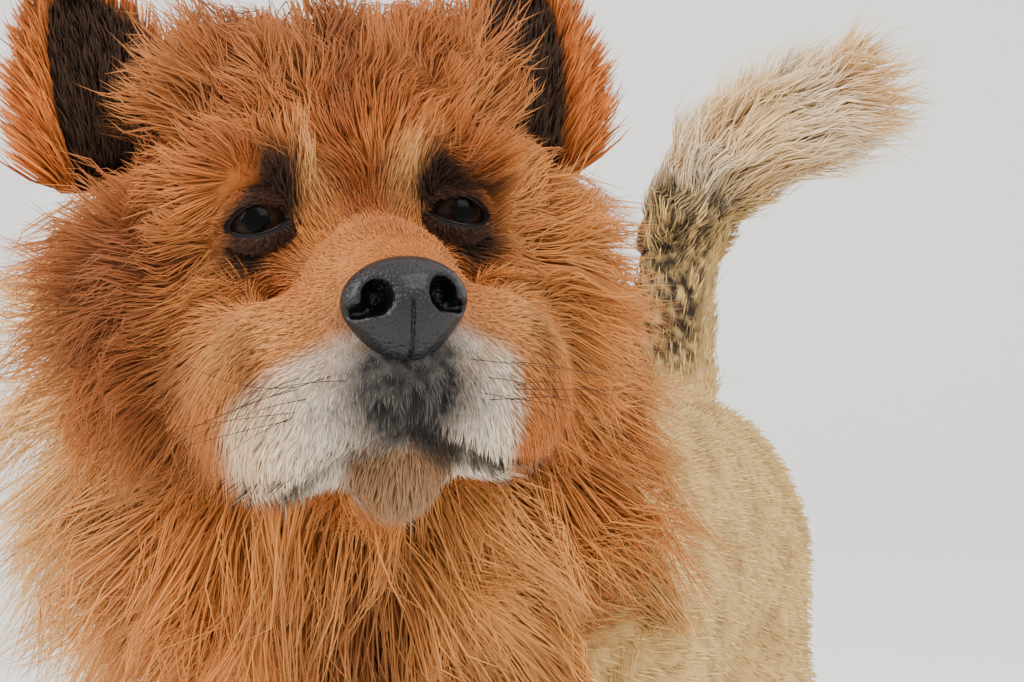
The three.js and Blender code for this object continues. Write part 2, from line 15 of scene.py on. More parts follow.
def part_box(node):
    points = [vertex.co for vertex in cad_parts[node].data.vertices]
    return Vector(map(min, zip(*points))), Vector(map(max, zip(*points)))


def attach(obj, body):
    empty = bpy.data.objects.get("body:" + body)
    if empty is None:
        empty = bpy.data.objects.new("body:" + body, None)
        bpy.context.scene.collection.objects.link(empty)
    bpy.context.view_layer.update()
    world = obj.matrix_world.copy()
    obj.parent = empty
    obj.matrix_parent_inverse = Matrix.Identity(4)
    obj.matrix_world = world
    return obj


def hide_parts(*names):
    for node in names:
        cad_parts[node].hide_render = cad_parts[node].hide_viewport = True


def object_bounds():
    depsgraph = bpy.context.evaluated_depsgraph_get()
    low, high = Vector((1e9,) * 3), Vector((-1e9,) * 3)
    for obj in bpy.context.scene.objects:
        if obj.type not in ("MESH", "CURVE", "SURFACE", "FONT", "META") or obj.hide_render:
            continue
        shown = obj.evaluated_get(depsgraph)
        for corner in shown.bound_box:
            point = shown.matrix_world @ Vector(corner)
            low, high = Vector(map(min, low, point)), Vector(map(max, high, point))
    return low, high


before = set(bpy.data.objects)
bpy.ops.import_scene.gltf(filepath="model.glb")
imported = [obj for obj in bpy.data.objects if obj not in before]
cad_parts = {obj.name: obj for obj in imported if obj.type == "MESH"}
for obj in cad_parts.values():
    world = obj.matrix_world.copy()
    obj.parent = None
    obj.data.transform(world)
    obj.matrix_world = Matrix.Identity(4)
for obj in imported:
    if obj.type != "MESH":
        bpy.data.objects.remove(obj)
cad_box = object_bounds()
rng = np.random.default_rng(20)

# Named values of the solids

WITHERS_HEIGHT = 505
CHEST_RADIUS = 112
EYE_X = 42
EYE_RADIUS = 13.5
EYE_HEIGHT = 581
EYES_PLACE = (24, -314)
HEAD_TURN, HEAD_LIFT, HEAD_ROLL = 37, 8, -3.7
STANCE_FRONT, STANCE_BACK = 88, 74
# The parting down the chest faces 22 degrees to the dog's left: cosine and sine of it
CHEST_COS, CHEST_SIN = 0.927, 0.375


def vec(*v):
    return np.array(v, dtype=float)


def unit(v):
    return v / np.maximum(np.linalg.norm(v, axis=-1, keepdims=True), 1e-9)


def mix(a, b, t):
    return a + (b - a) * t


def step(low, high, x):
    """0 below low, 1 above high, smooth between."""
    t = np.clip((x - low) / (high - low), 0, 1)
    return t * t * (3 - 2 * t)


HEAD_TURNING = np.array(
    Matrix.Rotation(math.radians(HEAD_TURN), 3, "Z")
    @ Matrix.Rotation(math.radians(-HEAD_LIFT), 3, "X")
    @ Matrix.Rotation(math.radians(HEAD_ROLL), 3, "Y")
)
HEAD_AT = vec(*EYES_PLACE, EYE_HEIGHT)


def of_head(p):
    return np.asarray(p, dtype=float) @ HEAD_TURNING.T + HEAD_AT


def to_head(p):
    return (p - HEAD_AT) @ HEAD_TURNING


def way_of_head(v):
    return np.asarray(v, dtype=float) @ HEAD_TURNING.T


EYE_CENTRES = [of_head((side * EYE_X, 1, 0)) for side in (1, -1)]
eye_middle = np.mean([np.array(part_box(n)).mean(axis=0) for n in ("eye_left", "eye_right")], axis=0)
SHIFT = eye_middle * 1000 - np.mean(EYE_CENTRES, axis=0)
SHIFT[2] = 0


def placed(p):
    """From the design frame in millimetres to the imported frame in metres."""
    return (p + SHIFT) / 1000


# Signed distances, blended as in the solids


def egg(c, r):
    return ("egg", vec(*c), vec(*r))


def limb(a, ra, b, rb, flat=1.0):
    return ("limb", vec(*a), ra, vec(*b), rb, flat)


def flipped(form):
    flip = vec(-1, 1, 1)
    if form[0] == "egg":
        return ("egg", form[1] * flip, form[2])
    return ("limb", form[1] * flip, form[2], form[3] * flip, form[4], form[5])


def both(forms):
    return list(forms) + [flipped(f) for f in forms]


def distance(form, p):
    if form[0] == "egg":
        q = (p - form[1]) / form[2]
        k0 = np.linalg.norm(q, axis=-1)
        k1 = np.linalg.norm(q / form[2], axis=-1)
        return k0 * (k0 - 1) / np.maximum(k1, 1e-9)
    _, a, ra, b, rb, flat = form
    q, s = p - a, b - a
    t = np.clip(q @ s / (s @ s), 0, 1)
    q = q - t[..., None] * s
    q[..., 0] /= flat
    return np.linalg.norm(q, axis=-1) - mix(ra, rb, t)


def merged(d, e, softness):
    h = np.clip(0.5 + 0.5 * (e - d) / softness, 0, 1)
    return mix(e, d, h) - softness * h * (1 - h)


def blended(forms, softness):
    def field(p):
        d = distance(forms[0], p)
        for form in forms[1:]:
            d = merged(d, distance(form, p), softness)
        return d

    return field


def carved(d, hollow, softness):
    h = np.clip(0.5 - 0.5 * (d + hollow) / softness, 0, 1)
    return mix(d, -hollow, h) + softness * h * (1 - h)


# Body forms

BODY_BLEND, TAIL_BLEND, PAW_BLEND, HEAD_BLEND, SOCKET_BLEND = 34, 12, 5, 16, 8
CLIPPED_DEPTH, MANE_DEPTH, PAW_DEPTH = 5, 25, 2.5
ELBOW = (STANCE_FRONT, -98, 270)
WRIST, FRONT_PASTERN = (STANCE_FRONT + 2, -112, 110), (STANCE_FRONT + 2, -120, 48)
HIP, STIFLE = (46, 168, 385), (STANCE_BACK + 2, 128, 262)
HOCK, BACK_PASTERN = (STANCE_BACK, 212, 148), (STANCE_BACK, 200, 52)

TRUNK = [
    limb((0, -122, WITHERS_HEIGHT - 133), CHEST_RADIUS, (0, 70, 390), 104, 0.94),
    limb((0, 70, 392), 102, (0, 186, 400), 94, 0.96),
    egg((0, -118, WITHERS_HEIGHT - 70), (70, 92, 68)),
    egg((0, 205, 398), (80, 68, 92)),
    egg((0, -205, 345), (74, 48, 72)),
]
FORE = [
    egg((84, -146, 372), (38, 62, 96)),
    limb((82, -140, 350), 50, ELBOW, 41),
    limb(ELBOW, 40, WRIST, 31),
    limb(WRIST, 32, FRONT_PASTERN, 30),
]
HIND = [
    egg((52, 168, 368), (44, 84, 104)),
    limb(HIP, 63, STIFLE, 53),
    limb(STIFLE, 51, HOCK, 33),
    limb(HOCK, 31, BACK_PASTERN, 28),
]
NECK = [
    limb((-14, -150, 400), 100, (-30, -205, 510), 98),
    limb((-30, -205, 510), 98, (-34, -228, 580), 94),
    egg((-8, -232, 380), (80, 50, 92)),
]
TAIL_POINTS = [
    (0, 205, 462), (-4, 236, 500), (-8, 248, 542), (0, 259, 606),
    (22, 264, 646), (62, 266, 684), (112, 268, 710),
]
TAIL_CORE = [32, 31, 30, 26, 21, 16, 11]
TOE_SPREAD, TOE_FORWARD = (-27, -10, 10, 27), (20, 32, 32, 20)
NECK_CUT_POINT, NECK_CUT_WAY = vec(0, -104, 505), unit(vec(-0.33, -0.76, 0.56))
NECK_WAY = unit(vec(0.1, 0.42, -0.9))
MANE_FRONT, MANE_BACK = of_head((0, 69, -27)), vec(-10, -162, 452)
FACE_CUT_WAY = way_of_head(unit(vec(0, -0.8, 0.6)))


def paw_forms(side, hind):
    px, py = (BACK_PASTERN if hind else FRONT_PASTERN)[:2]
    x, y = px * side, py - (10 if hind else 12)
    toes = [egg((x + s, y - f, 16), (14, 22, 18)) for s, f in zip(TOE_SPREAD, TOE_FORWARD)]
    return [egg((x, y, 22), (37, 40, 27))] + toes


body_field = blended(TRUNK + both(FORE) + both(HIND) + NECK, BODY_BLEND)
paws_field = blended([f for s in (1, -1) for h in (0, 1) for f in paw_forms(s, h)], PAW_BLEND)
tail_forms = [
    limb(TAIL_POINTS[i], TAIL_CORE[i], TAIL_POINTS[i + 1], TAIL_CORE[i + 1])
    for i in range(len(TAIL_POINTS) - 1)
]
tail_field = blended(tail_forms, TAIL_BLEND)


def mane_share(p):
    """1 in the mane, 0 on the clipped body."""
    s = (p - NECK_CUT_POINT) @ NECK_CUT_WAY
    return step(-30, 25, s)


def body_skin(p):
    """The skin of neck, trunk, legs, paws and tail, under the coat's depth."""
    depth = mix(CLIPPED_DEPTH, MANE_DEPTH, mane_share(p))
    body = body_field(p) + depth
    body = merged(body, tail_field(p), 14)
    body = merged(body, paws_field(p) + PAW_DEPTH, 10)
    return np.maximum(body, 0.5 - p[..., 2])


# Head forms, in the head's own frame: origin midway between the eyes, nose towards -Y

HEAD = [
    egg((0, 56, 28), (96, 85, 76)),
    egg((0, 16, 46), (64, 46, 46)),
    *both([
        egg((50, 58, 56), (52, 62, 51)),
        egg((36, -2, 27), (26, 20, 14)),
        egg((66, 52, -30), (62, 60, 72)),
        egg((38, -30, -74), (38, 46, 41)),
        egg((55, 10, -58), (28, 42, 38)),
    ]),
    limb((0, 8, -24), 38, (0, -50, -42), 33),
    egg((0, -58, -70), (36, 26, 34)),
    limb((0, 40, -90), 34, (0, -38, -104), 21),
]
SOCKETS = both([egg((EYE_X + 1, -28, -1), (25, 25, 19))])
MOUTH = [
    (0, -74, -96), (8, -72, -101), (18, -66, -109),
    (34, -54, -116), (52, -32, -112), (66, -6, -100),
]
NOSE_ROOT = vec(0, -78, -48)


def curve_points(points, count):
    """Points along a smooth line through the given ones."""
    p = np.array(points, dtype=float)
    p = np.vstack([2 * p[0] - p[1], p, 2 * p[-1] - p[-2]])
    spans = len(p) - 3
    out = []
    for t in np.linspace(0, spans - 1e-6, count):
        i = int(t)
        u = t - i
        a, b, c, d = p[i : i + 4]
        out.append(0.5 * (2 * b + (c - a) * u + (2 * a - 5 * b + 4 * c - d) * u**2
                          + (3 * b - a - 3 * c + d) * u**3))
    return np.array(out)


EAR_ROOT, EAR_HEIGHT, EAR_HALF_WIDTH = vec(86, 64, 38), 98, 39
EAR_TURN = np.array(
    Matrix.Rotation(math.radians(-10), 3, "Z")
    @ Matrix.Rotation(math.radians(14), 3, "Y")
    @ Matrix.Rotation(math.radians(-4), 3, "X")
)


def ear_local(q):
    """Places in the frame of the nearer ear: x outwards, y back, z up along it."""
    return (np.stack([np.abs(q[..., 0]), q[..., 1], q[..., 2]], axis=-1) - EAR_ROOT) @ EAR_TURN


EAR_POCKET = egg((-4, -13, 25), (29, 19, 38))


def eye_reach(q):
    """Distance from the nearer eye's centre, in the head's frame."""
    return np.linalg.norm(np.abs(q) * vec(1, 0, 0) + q * vec(0, 1, 1) - vec(EYE_X, 1, 0), axis=-1)


def nose_distance(q):
    """Distance from the nose's root, in the head's frame."""
    return np.linalg.norm(q - NOSE_ROOT, axis=-1)


def over_eye(q):
    """Below 1 in front of an eye's opening."""
    dx, dz = np.abs(q[..., 0]) - EYE_X, q[..., 2]
    dz = dz + 0.19 * dx
    return np.where(q[..., 1] < 12, np.hypot(dx / 11.6, dz / 6.4), 9.0)


def head_depth(q):
    """How deep the coat is on the head: thin round eyes and mouth, thick on crown and cheeks."""
    from_face = np.linalg.norm((q - vec(0, -70, -60)) / vec(1, 1, 1.1), axis=-1)
    depth = mix(4.5, 20, step(45, 150, from_face))
    near_eye = 1 - step(17, 42, eye_reach(q))
    return mix(depth, 1.2, near_eye)


def head_solid(q):
    d = blended(HEAD, HEAD_BLEND)(q)
    hollow = np.minimum(distance(SOCKETS[0], q), distance(SOCKETS[1], q))
    return carved(d, hollow, SOCKET_BLEND)


def head_covered(q):
    return head_solid(q) + head_depth(q)


def gradient(field, p, e=0.6):
    g = np.empty_like(p)
    for k in range(3):
        o = np.zeros(3)
        o[k] = e
        g[:, k] = field(p + o) - field(p - o)
    return unit(g)


def settled(field, p, moves=4):
    """The points moved on to the surface where the field is zero."""
    for _ in range(moves):
        p = p - gradient(field, p) * field(p)[:, None]
    return p


mouth_line = settled(head_covered, curve_points(MOUTH, 24))
mouth_line = np.vstack([mouth_line[::-1] * vec(-1, 1, 1), mouth_line[1:]])
MOUTH_FORMS = [limb(mouth_line[i], 3, mouth_line[i + 1], 3) for i in range(0, len(mouth_line) - 2, 2)]


def head_skin(q):
    mouth = blended(MOUTH_FORMS, 2)(q)
    fold = np.abs(q[..., 0])
    groove = np.sqrt(fold**2 + (0.35 * np.maximum(0, q[..., 1] + 84)) ** 2) - 1.4
    philtrum = np.maximum(groove, np.abs(q[..., 2] + 80) - 18)
    d = carved(carved(head_covered(q), mouth, 3), philtrum, 3)
    return carved(d, distance(EAR_POCKET, ear_local(q)), 5)


# Surfaces from fields: a net over a grid, then moved on to the field's zero


def in_chunks(field, p, size=200000):
    return np.concatenate([field(p[i : i + size]) for i in range(0, len(p), size)])


def net(field, low, high, pitch, moves=3):
    """Vertices and quads of the surface where field is zero, inside a box."""
    axes = [np.arange(a, b + pitch, pitch) for a, b in zip(low, high)]
    n = [len(a) for a in axes]
    grid = np.stack(np.meshgrid(*axes, indexing="ij"), axis=-1).reshape(-1, 3)
    v = in_chunks(field, grid).reshape(n)
    inside = v < 0
    corners = np.array([(i, j, k) for i in (0, 1) for j in (0, 1) for k in (0, 1)])
    count = sum(inside[i : n[0] - 1 + i, j : n[1] - 1 + j, k : n[2] - 1 + k].astype(int)
                for i, j, k in corners)
    cells = np.argwhere((count > 0) & (count < 8))
    index = -np.ones([m - 1 for m in n], dtype=int)
    index[tuple(cells.T)] = np.arange(len(cells))
    values = np.stack([v[tuple((cells + c).T)] for c in corners], axis=1)
    total = np.zeros((len(cells), 3))
    hits = np.zeros(len(cells))
    for a in range(8):
        for b in range(a + 1, 8):
            if np.abs(corners[a] - corners[b]).sum() != 1:
                continue
            cross = (values[:, a] < 0) != (values[:, b] < 0)
            t = values[cross, a] / (values[cross, a] - values[cross, b])
            total[cross] += corners[a] + t[:, None] * (corners[b] - corners[a])
            hits[cross] += 1
    points = np.array(low) + (cells + total / hits[:, None]) * pitch
    quads = []
    for axis in range(3):
        one, two = [(1, 2), (2, 0), (0, 1)][axis]
        head = [slice(None)] * 3
        tail = [slice(None)] * 3
        head[axis], tail[axis] = slice(0, n[axis] - 1), slice(1, n[axis])
        change = inside[tuple(head)] != inside[tuple(tail)]
        at = np.argwhere(change)
        ok = (at[:, one] > 0) & (at[:, two] > 0) & (at[:, one] < n[one] - 1) & (at[:, two] < n[two] - 1)
        at = at[ok]
        o1, o2 = np.zeros(3, dtype=int), np.zeros(3, dtype=int)
        o1[one], o2[two] = 1, 1
        quad = np.stack([index[tuple((at - s).T)] for s in (o1 + o2, o2, 0 * o1, o1)], axis=1)
        outwards = inside[tuple(at.T)]
        quad[~outwards] = quad[~outwards][:, ::-1]
        quads.append(quad)
    for _ in range(moves):
        d = in_chunks(field, points)
        points -= gradient(field, points) * np.clip(d, -pitch, pitch)[:, None]
    return points, np.concatenate(quads)


def make_object(name, points, faces, smooth=True):
    mesh = bpy.data.meshes.new(name)
    faces = np.asarray(faces)
    mesh.vertices.add(len(points))
    mesh.vertices.foreach_set("co", np.asarray(points, dtype=np.float32).ravel())
    mesh.loops.add(faces.size)
    mesh.loops.foreach_set("vertex_index", faces.ravel().astype(np.int32))
    mesh.polygons.add(len(faces))
    mesh.polygons.foreach_set("loop_start", np.arange(0, faces.size, faces.shape[1], dtype=np.int32))
    mesh.update(calc_edges=True)
    mesh.validate()
    if smooth:
        mesh.polygons.foreach_set("use_smooth", np.ones(len(faces), dtype=bool))
    obj = bpy.data.objects.new(name, mesh)
    bpy.context.collection.objects.link(obj)
    return obj


def piece(name, points, faces, tint, material, slot_name):
    """An object of the dog, from the design frame, with a tint at each point."""
    obj = make_object(name, placed(points), faces)
    rgba = np.ones((len(points), 4), dtype=np.float32)
    rgba[:, :3] = tint
    layer = obj.data.attributes.new("tint", "FLOAT_COLOR", "POINT")
    layer.data.foreach_set("color", rgba.ravel())
    obj.data.materials.append(material)
    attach(obj, "root")
    return obj


def ring_quads(rings, around, start=0):
    """Quads that join closed rings of points, each ring to the next."""
    i, j = np.divmod(np.arange((rings - 1) * around), around)
    a, b, k = start + i * around, start + (i + 1) * around, (j + 1) % around
    return np.stack([a + j, a + k, b + k, b + j], axis=1)


# Ears: a domed back and a hollowed front, as in the solids but fine and thinner


def outward(points, quads):
    """The quads turned so that their closed surface faces out."""
    a, b, c, d = (points[quads[:, k]] for k in range(4))
    volume = (a * np.cross(b, c)).sum() + (a * np.cross(c, d)).sum()
    return quads if volume > 0 else quads[:, ::-1]


def ear_place(local, side):
    p = local @ EAR_TURN.T + EAR_ROOT
    return p * vec(side, 1, 1)


def ear_shell(side, levels=26, across=20, inset=5):
    """Points, quads, and each point's (u, v, back) place on the ear."""
    points, place = [], []
    for i in range(levels):
        v = 0.985 * i / (levels - 1)
        half = (EAR_HALF_WIDTH - inset) * (1 - v * v) ** 0.62
        for j in range(2 * across):
            back = j < across
            u = 1 - 2 * j / across if back else 2 * j / across - 3
            bow = 1 - u * u
            y = (17 * bow + 1.5) if back else 15 * bow * (1 - 0.5 * v) - 1.5
            y = y * 0.92 + 10 * v * v
            points.append((u * half, y, v * (EAR_HEIGHT - inset)))
            place.append((u, v, float(back)))
    first, end = (levels - 1) * 2 * across, levels * 2 * across
    top = [(first + j, first + j + 1, end - 2 - j, end - 1 - j) for j in range(across - 1)]
    quads = np.vstack([ring_quads(levels, 2 * across), top])
    points = ear_place(np.array(points, dtype=float), side)
    return points, outward(points - points.mean(axis=0), quads), np.array(place)


# Lids: a shell round each eye with an almond opening

LID_PROFILE = [(-3, 1.0), (0.1, 0.0), (0.9, 0.2), (1.3, 1.2), (1.2, 3.2), (0.3, 5.8), (-2.8, 8.4), (-6, 10)]
EYE_OPEN, EYE_HIGH, EYE_SLANT = 0.86, 0.45, 0.16


def almond(turn):
    """The opening's edge as a way from the eye's centre, for the left eye."""
    rise = math.copysign(EYE_HIGH * abs(math.sin(turn)) ** 1.15, math.sin(turn))
    d = vec(EYE_OPEN * math.cos(turn), 0, rise - EYE_SLANT * math.cos(turn))
    d[1] = -math.sqrt(max(0.05, 1 - d @ d))
    return unit(d)


def lid_shell(side, around=64):
    """Points and quads of a lid, and how far out from the opening each point lies."""
    points, reach = [], []
    for i in range(around):
        d = almond(2 * math.pi * i / around)
        outwards = unit(vec(d[0], 0, d[2]))
        for lift, w in LID_PROFILE:
            points.append((vec(EYE_X, 1, 0) + d * (EYE_RADIUS + lift) + outwards * w) * vec(side, 1, 1))
            reach.append(w)
    n = len(LID_PROFILE)
    quads = []
    for i in range(around):
        j = (i + 1) % around
        for k in range(n):
            m = (k + 1) % n
            quads.append((i * n + k, j * n + k, j * n + m, i * n + m))
    points = np.array(points)
    return points, outward(points - points.mean(axis=0), np.array(quads)), np.array(reach)


# Noise without pictures: sums of slanted waves


def waves(p, size, seed, count=9):
    """Smooth noise about 0 with waves of a size."""
    r = np.random.default_rng(seed)
    k = unit(r.normal(size=(count, 3))) * (2 * np.pi / size) * r.uniform(0.6, 1.6, (count, 1))
    phase = r.uniform(0, 2 * np.pi, count)
    return np.sin(p @ k.T + phase).sum(axis=-1) / math.sqrt(count / 2)


def waves_way(p, size):
    return np.stack([waves(p, size, 50 + k) for k in range(3)], axis=-1)


def rgb(r, g, b):
    """A colour as seen, made linear."""
    c = np.array([r, g, b]) / 255
    return np.where(c <= 0.04045, c / 12.92, ((c + 0.055) / 1.055) ** 2.4)


RUST, DEEP, GOLD = rgb(186, 100, 38), rgb(102, 45, 18), rgb(220, 156, 84)
STRAW, CREAM, GREY = rgb(234, 192, 126), rgb(250, 240, 222), rgb(122, 118, 116)
BLACK, TAN, MOTTLE = rgb(24, 21, 22), rgb(228, 190, 122), rgb(160, 128, 80)
DARK_BROWN, TAN_GOLD, PALE_GOLD = rgb(58, 34, 22), rgb(214, 154, 90), rgb(226, 176, 112)
CHIN, SOOT, TIP_BROWN = rgb(140, 96, 56), rgb(44, 36, 30), rgb(190, 134, 76)


def shade(base, other, t):
    """The base turned into the other colour by a share for each point."""
    return base + (other - base) * np.asarray(t)[..., None]


def mark(q, centre, radii):
    """A soft mark of 1 at a place, the same on both sides when q's x is folded."""
    return np.exp(-(((q - vec(*centre)) / vec(*radii)) ** 2).sum(axis=-1))


# Soft marks of the face: on both sides or one, colour, share, centre, radii; some rows are painted shade, as
# noted above them
FACE_MARKS_AND_SHADE = [
    # Painted shade in the crease beside the muzzle, spread over the right cheek's darker coat
    (False, DEEP, 0.9, (-83, -6, -36), (20, 48, 56)),
    (False, DEEP, 0.75, (-88, 20, -14), (26, 34, 24)),
    # Painted shadow in the groove where the muzzle meets the ruff on the right side
    (False, DEEP * 0.6, 0.75, (-76, 24, -96), (16, 40, 22)),
    (False, GOLD, 0.4, (84, 20, -20), (24, 50, 50)),
    (True, TAN_GOLD, 0.75, (50, -60, -56), (26, 36, 20)),
    (True, TAN_GOLD, 0.25, (22, -60, -30), (16, 30, 16)),
    # Painted shade in the creases of the nose bridge
    (False, DEEP, 0.4, (2, -58, -20), (9, 14, 9)),
    (True, DEEP, 0.14, (0, -50, -22), (34, 40, 20)),
]


def head_tint(q):
    """Colour of the head's coat at a place in the head's frame."""
    x, y, z = q[..., 0], q[..., 1], q[..., 2]
    ax = np.abs(x)
    f = np.stack([ax, y, z], axis=-1)
    patches = np.clip(0.5 + 0.5 * waves(q, 60, 3), 0, 1)
    c = shade(RUST, GOLD, 0.3 * patches)
    c = shade(c, DEEP, 0.3 * np.clip(waves(q, 34, 4) - 0.3, 0, 1))
    c = shade(c, DEEP, mix(0.4, 0.54, step(10, -30, x)) * step(5, 50, z) * step(95, 50, ax))
    c = shade(c, STRAW, mix(0.3, 0.6, step(0, -20, x)) * step(92, 120, ax) * step(30, -50, z))
    for mirrored, colour, share, centre, radii in FACE_MARKS_AND_SHADE:
        c = shade(c, colour, share * mark(f if mirrored else q, centre, radii))
    c = shade(c, PALE_GOLD, 0.6 * np.clip(1.3 * mark(f, (19, -26, 10), (10, 30, 11)), 0, 1))
    c = shade(c, DEEP, 0.7 * np.exp(-(((x + 4) / 6) ** 2)) * step(8, 28, z) * step(90, 64, z) * (y < 30))
    # Painted shade in the creases of the bridge between the eyes
    c = shade(c, DEEP, 0.55 * mark(f, (0, -30, 4), (15, 30, 13)))
    muzzle = step(0, 10, np.where(x > 0, 46, 67) - ax) * step(-20, -40, y)
    white = muzzle * step(-54, -68, z + 0.42 * (ax - 24)) * step(0, 5, z + 130)
    c = shade(c, CREAM, 0.95 * white)
    c = shade(c, PALE_GOLD, white * (0.2 + 0.4 * step(30, 62, ax)))
    speck = np.clip(0.5 + 0.6 * waves(q, 7, 6), 0, 1)
    under = np.clip(1.8 * mark(f, (0, -78, -77), (22, 34, 23)), 0, 1)
    c = shade(c, GREY, 0.85 * under)
    c = shade(c, BLACK, under * (0.74 + 0.25 * speck))
    beds = np.clip(waves(q, 5, 14) - 0.3, 0, 1) * mark(f, (30, -74, -82), (17, 30, 16))
    c = shade(c, GREY * 0.7, 0.6 * beds * white)
    mottled = np.clip(waves(q, 16, 15) - 0.2, 0, 1) * step(-84, -62, z)
    c = shade(c, TAN_GOLD, 0.5 * mottled * white * (1 - under))
    # Painted shadow under the chin's right side, between jaw, flew and throat
    c = shade(c, BLACK, 0.85 * mark(q, (-17, -48, -115), (12, 26, 10)))
    chin = step(-97, -101, z) * step(24, 17, ax) * (y < -30)
    c = shade(c, CHIN * (0.8 + 0.35 * speck[..., None]), 0.9 * chin)
    gap = np.min([np.linalg.norm(q - m, axis=-1) for m in mouth_line[::2]], axis=0)
    lip = step(9, 4, gap) * step(5, -25, y)
    lip *= np.where(x < 0, 0.3 + 0.7 * step(24, 42, ax), 0.95)
    c = shade(c, BLACK, 0.95 * lip)
    c = shade(c, DEEP, 0.6 * mark(f, (55, -66, -62), (5, 30, 20)))
    dark = 2.2 * mark(f, (EYE_X - 3, -6, 0), (12.5, 30, 10))
    dark = dark + 1.4 * mark(f, (34, -12, 12), (8, 30, 9)) + 1.3 * mark(f, (44, -12, -14), (10, 30, 8))
    dark = np.clip(dark, 0, 1)
    c = shade(c, BLACK, 0.95 * dark)
    # Painted shade in the hollow at each ear's base
    pocket_shade = step(5, -3, distance(EAR_POCKET, ear_local(q)))
    return shade(c, DARK_BROWN * 0.5, pocket_shade)


def parting(p):
    """Distance, to the dog's left, from the parting of the coat down the chest."""
    return (p[..., 0] + 7) * CHEST_COS + (p[..., 1] + 251) * CHEST_SIN


def body_tint(p):
    """Colour of the coat on neck, body, legs and tail."""
    x, y, z = p[..., 0], p[..., 1], p[..., 2]
    patches = np.clip(0.5 + 0.4 * waves(p, 120, 5), 0, 1)
    mane = shade(RUST, GOLD, 0.2 + 0.45 * patches)
    mane = shade(mane, DEEP, 0.35 * np.clip(waves(p, 46, 7) - 0.5, 0, 1))
    # Partly the paler fur of the mane's right side, partly painted light falling on that side
    mane = shade(mane, STRAW * 1.05, 0.95 * step(-46, -95, x) * step(640, 500, z))
    mane = shade(mane, STRAW, 0.55 * step(-230, -110, y) * step(20, 90, x))
    mane = shade(mane, GOLD, 0.5 * step(430, 330, z))
    # Painted shadow along the parting down the chest
    mane = shade(mane, DEEP * 0.8, 0.8 * np.exp(-((parting(p) / 9) ** 2)) * step(515, 480, z) * (y < -230))
    mane = shade(mane, STRAW, 0.5 * step(-150, -60, y))
    body = shade(TAN, MOTTLE, 0.45 * np.clip(waves(p, 40, 8) - 0.1, 0, 1))
    body = shade(body, MOTTLE, 0.4 * np.clip(waves(p, 13, 9) - 0.4, 0, 1))
    body = shade(body, MOTTLE, 0.15 * step(430, 500, z))
    body = shade(body, CREAM, 0.22 * step(330, 250, z))
    c = shade(body, mane, mane_share(p))
    tail = tail_field(p)
    on_tail = step(20, 0, tail) * (z > 478)
    root = shade(TAN, SOOT, np.clip(0.84 + 0.4 * waves(p, 8, 11), 0, 1))
    middle = [np.interp(z, *([v[a] for v in TAIL_POINTS[:5]] for a in (2, k))) for k in (0, 1)]
    tan_side = step(12, 24, (x - middle[0]) * CHEST_COS + (y - middle[1]) * CHEST_SIN)
    root = shade(root, TAN, 0.6 * tan_side)
    root = shade(root, TAN, 0.8 * step(525, 492, z))
    plume = shade(CREAM, TIP_BROWN, 0.85 * step(80, 122, x))
    plume = shade(plume, STRAW, 0.35 + 0.5 * np.clip(0.5 + 0.5 * waves(p, 40, 12), 0, 1))
    whole_tail = shade(root, plume, step(612, 652, z + 8 * waves(p, 20, 13)))
    return shade(c, whole_tail, on_tail)


# Materials


def new_material(name):
    material = bpy.data.materials.new(name)
    material.use_nodes = True
    tree = material.node_tree
    return material, tree.nodes, tree.links, tree.nodes["Principled BSDF"]


def node(nodes, kind, **values):
    made = nodes.new(kind)
    for key, value in values.items():
        if key in made.inputs:
            made.inputs[key].default_value = value
        else:
            setattr(made, key, value)
    return made


def tinted_material(name, roughness, noise, bump=None, sheen=0.0, specular=0.2):
    """The tint times noise (scale, detail, roughness, share), with a bump (scale, strength, depth)."""
    scale, detail, coarse, share = noise
    material, nodes, links, shader = new_material(name)
    tint = node(nodes, "ShaderNodeAttribute", attribute_name="tint")
    place = node(nodes, "ShaderNodeTexCoord")
    noise = node(nodes, "ShaderNodeTexNoise", Scale=scale, Detail=detail, Roughness=coarse)
    links.new(place.outputs["Object"], noise.inputs["Vector"])
    ramp = node(nodes, "ShaderNodeMapRange")
    ramp.inputs["To Min"].default_value = 1 - share
    ramp.inputs["To Max"].default_value = 1 + share
    links.new(noise.outputs["Fac"], ramp.inputs["Value"])
    times = node(nodes, "ShaderNodeVectorMath", operation="SCALE")
    links.new(tint.outputs["Color"], times.inputs[0])
    links.new(ramp.outputs["Result"], times.inputs["Scale"])
    links.new(times.outputs["Vector"], shader.inputs["Base Color"])
    shader.inputs["Roughness"].default_value = roughness
    shader.inputs["Specular IOR Level"].default_value = specular
    if sheen:
        shader.inputs["Sheen Weight"].default_value = sheen
        shader.inputs["Sheen Roughness"].default_value = 0.6
        shader.inputs["Sheen Tint"].default_value = (1.0, 0.82, 0.62, 1)
    if bump:
        fine = node(nodes, "ShaderNodeTexNoise", Scale=bump[0], Detail=3.0)
        links.new(place.outputs["Object"], fine.inputs["Vector"])
        raised = node(nodes, "ShaderNodeBump", Strength=bump[1], Distance=bump[2])
        links.new(fine.outputs["Fac"], raised.inputs["Height"])
        links.new(raised.outputs["Normal"], shader.inputs["Normal"])
    return material


# The skin: one object of body, head, ears and lids, with its map of patches

BODY_PITCH, HEAD_PITCH, NOSE_PITCH = 5.0, 2.5, 0.9
body_points, body_quads = net(body_skin, (-160, -330, -6), (160, 310, 740), BODY_PITCH)
head_points, head_quads = net(head_skin, (-125, -115, -145), (125, 150, 115), HEAD_PITCH)
ears = {side: ear_shell(side) for side in (1, -1)}

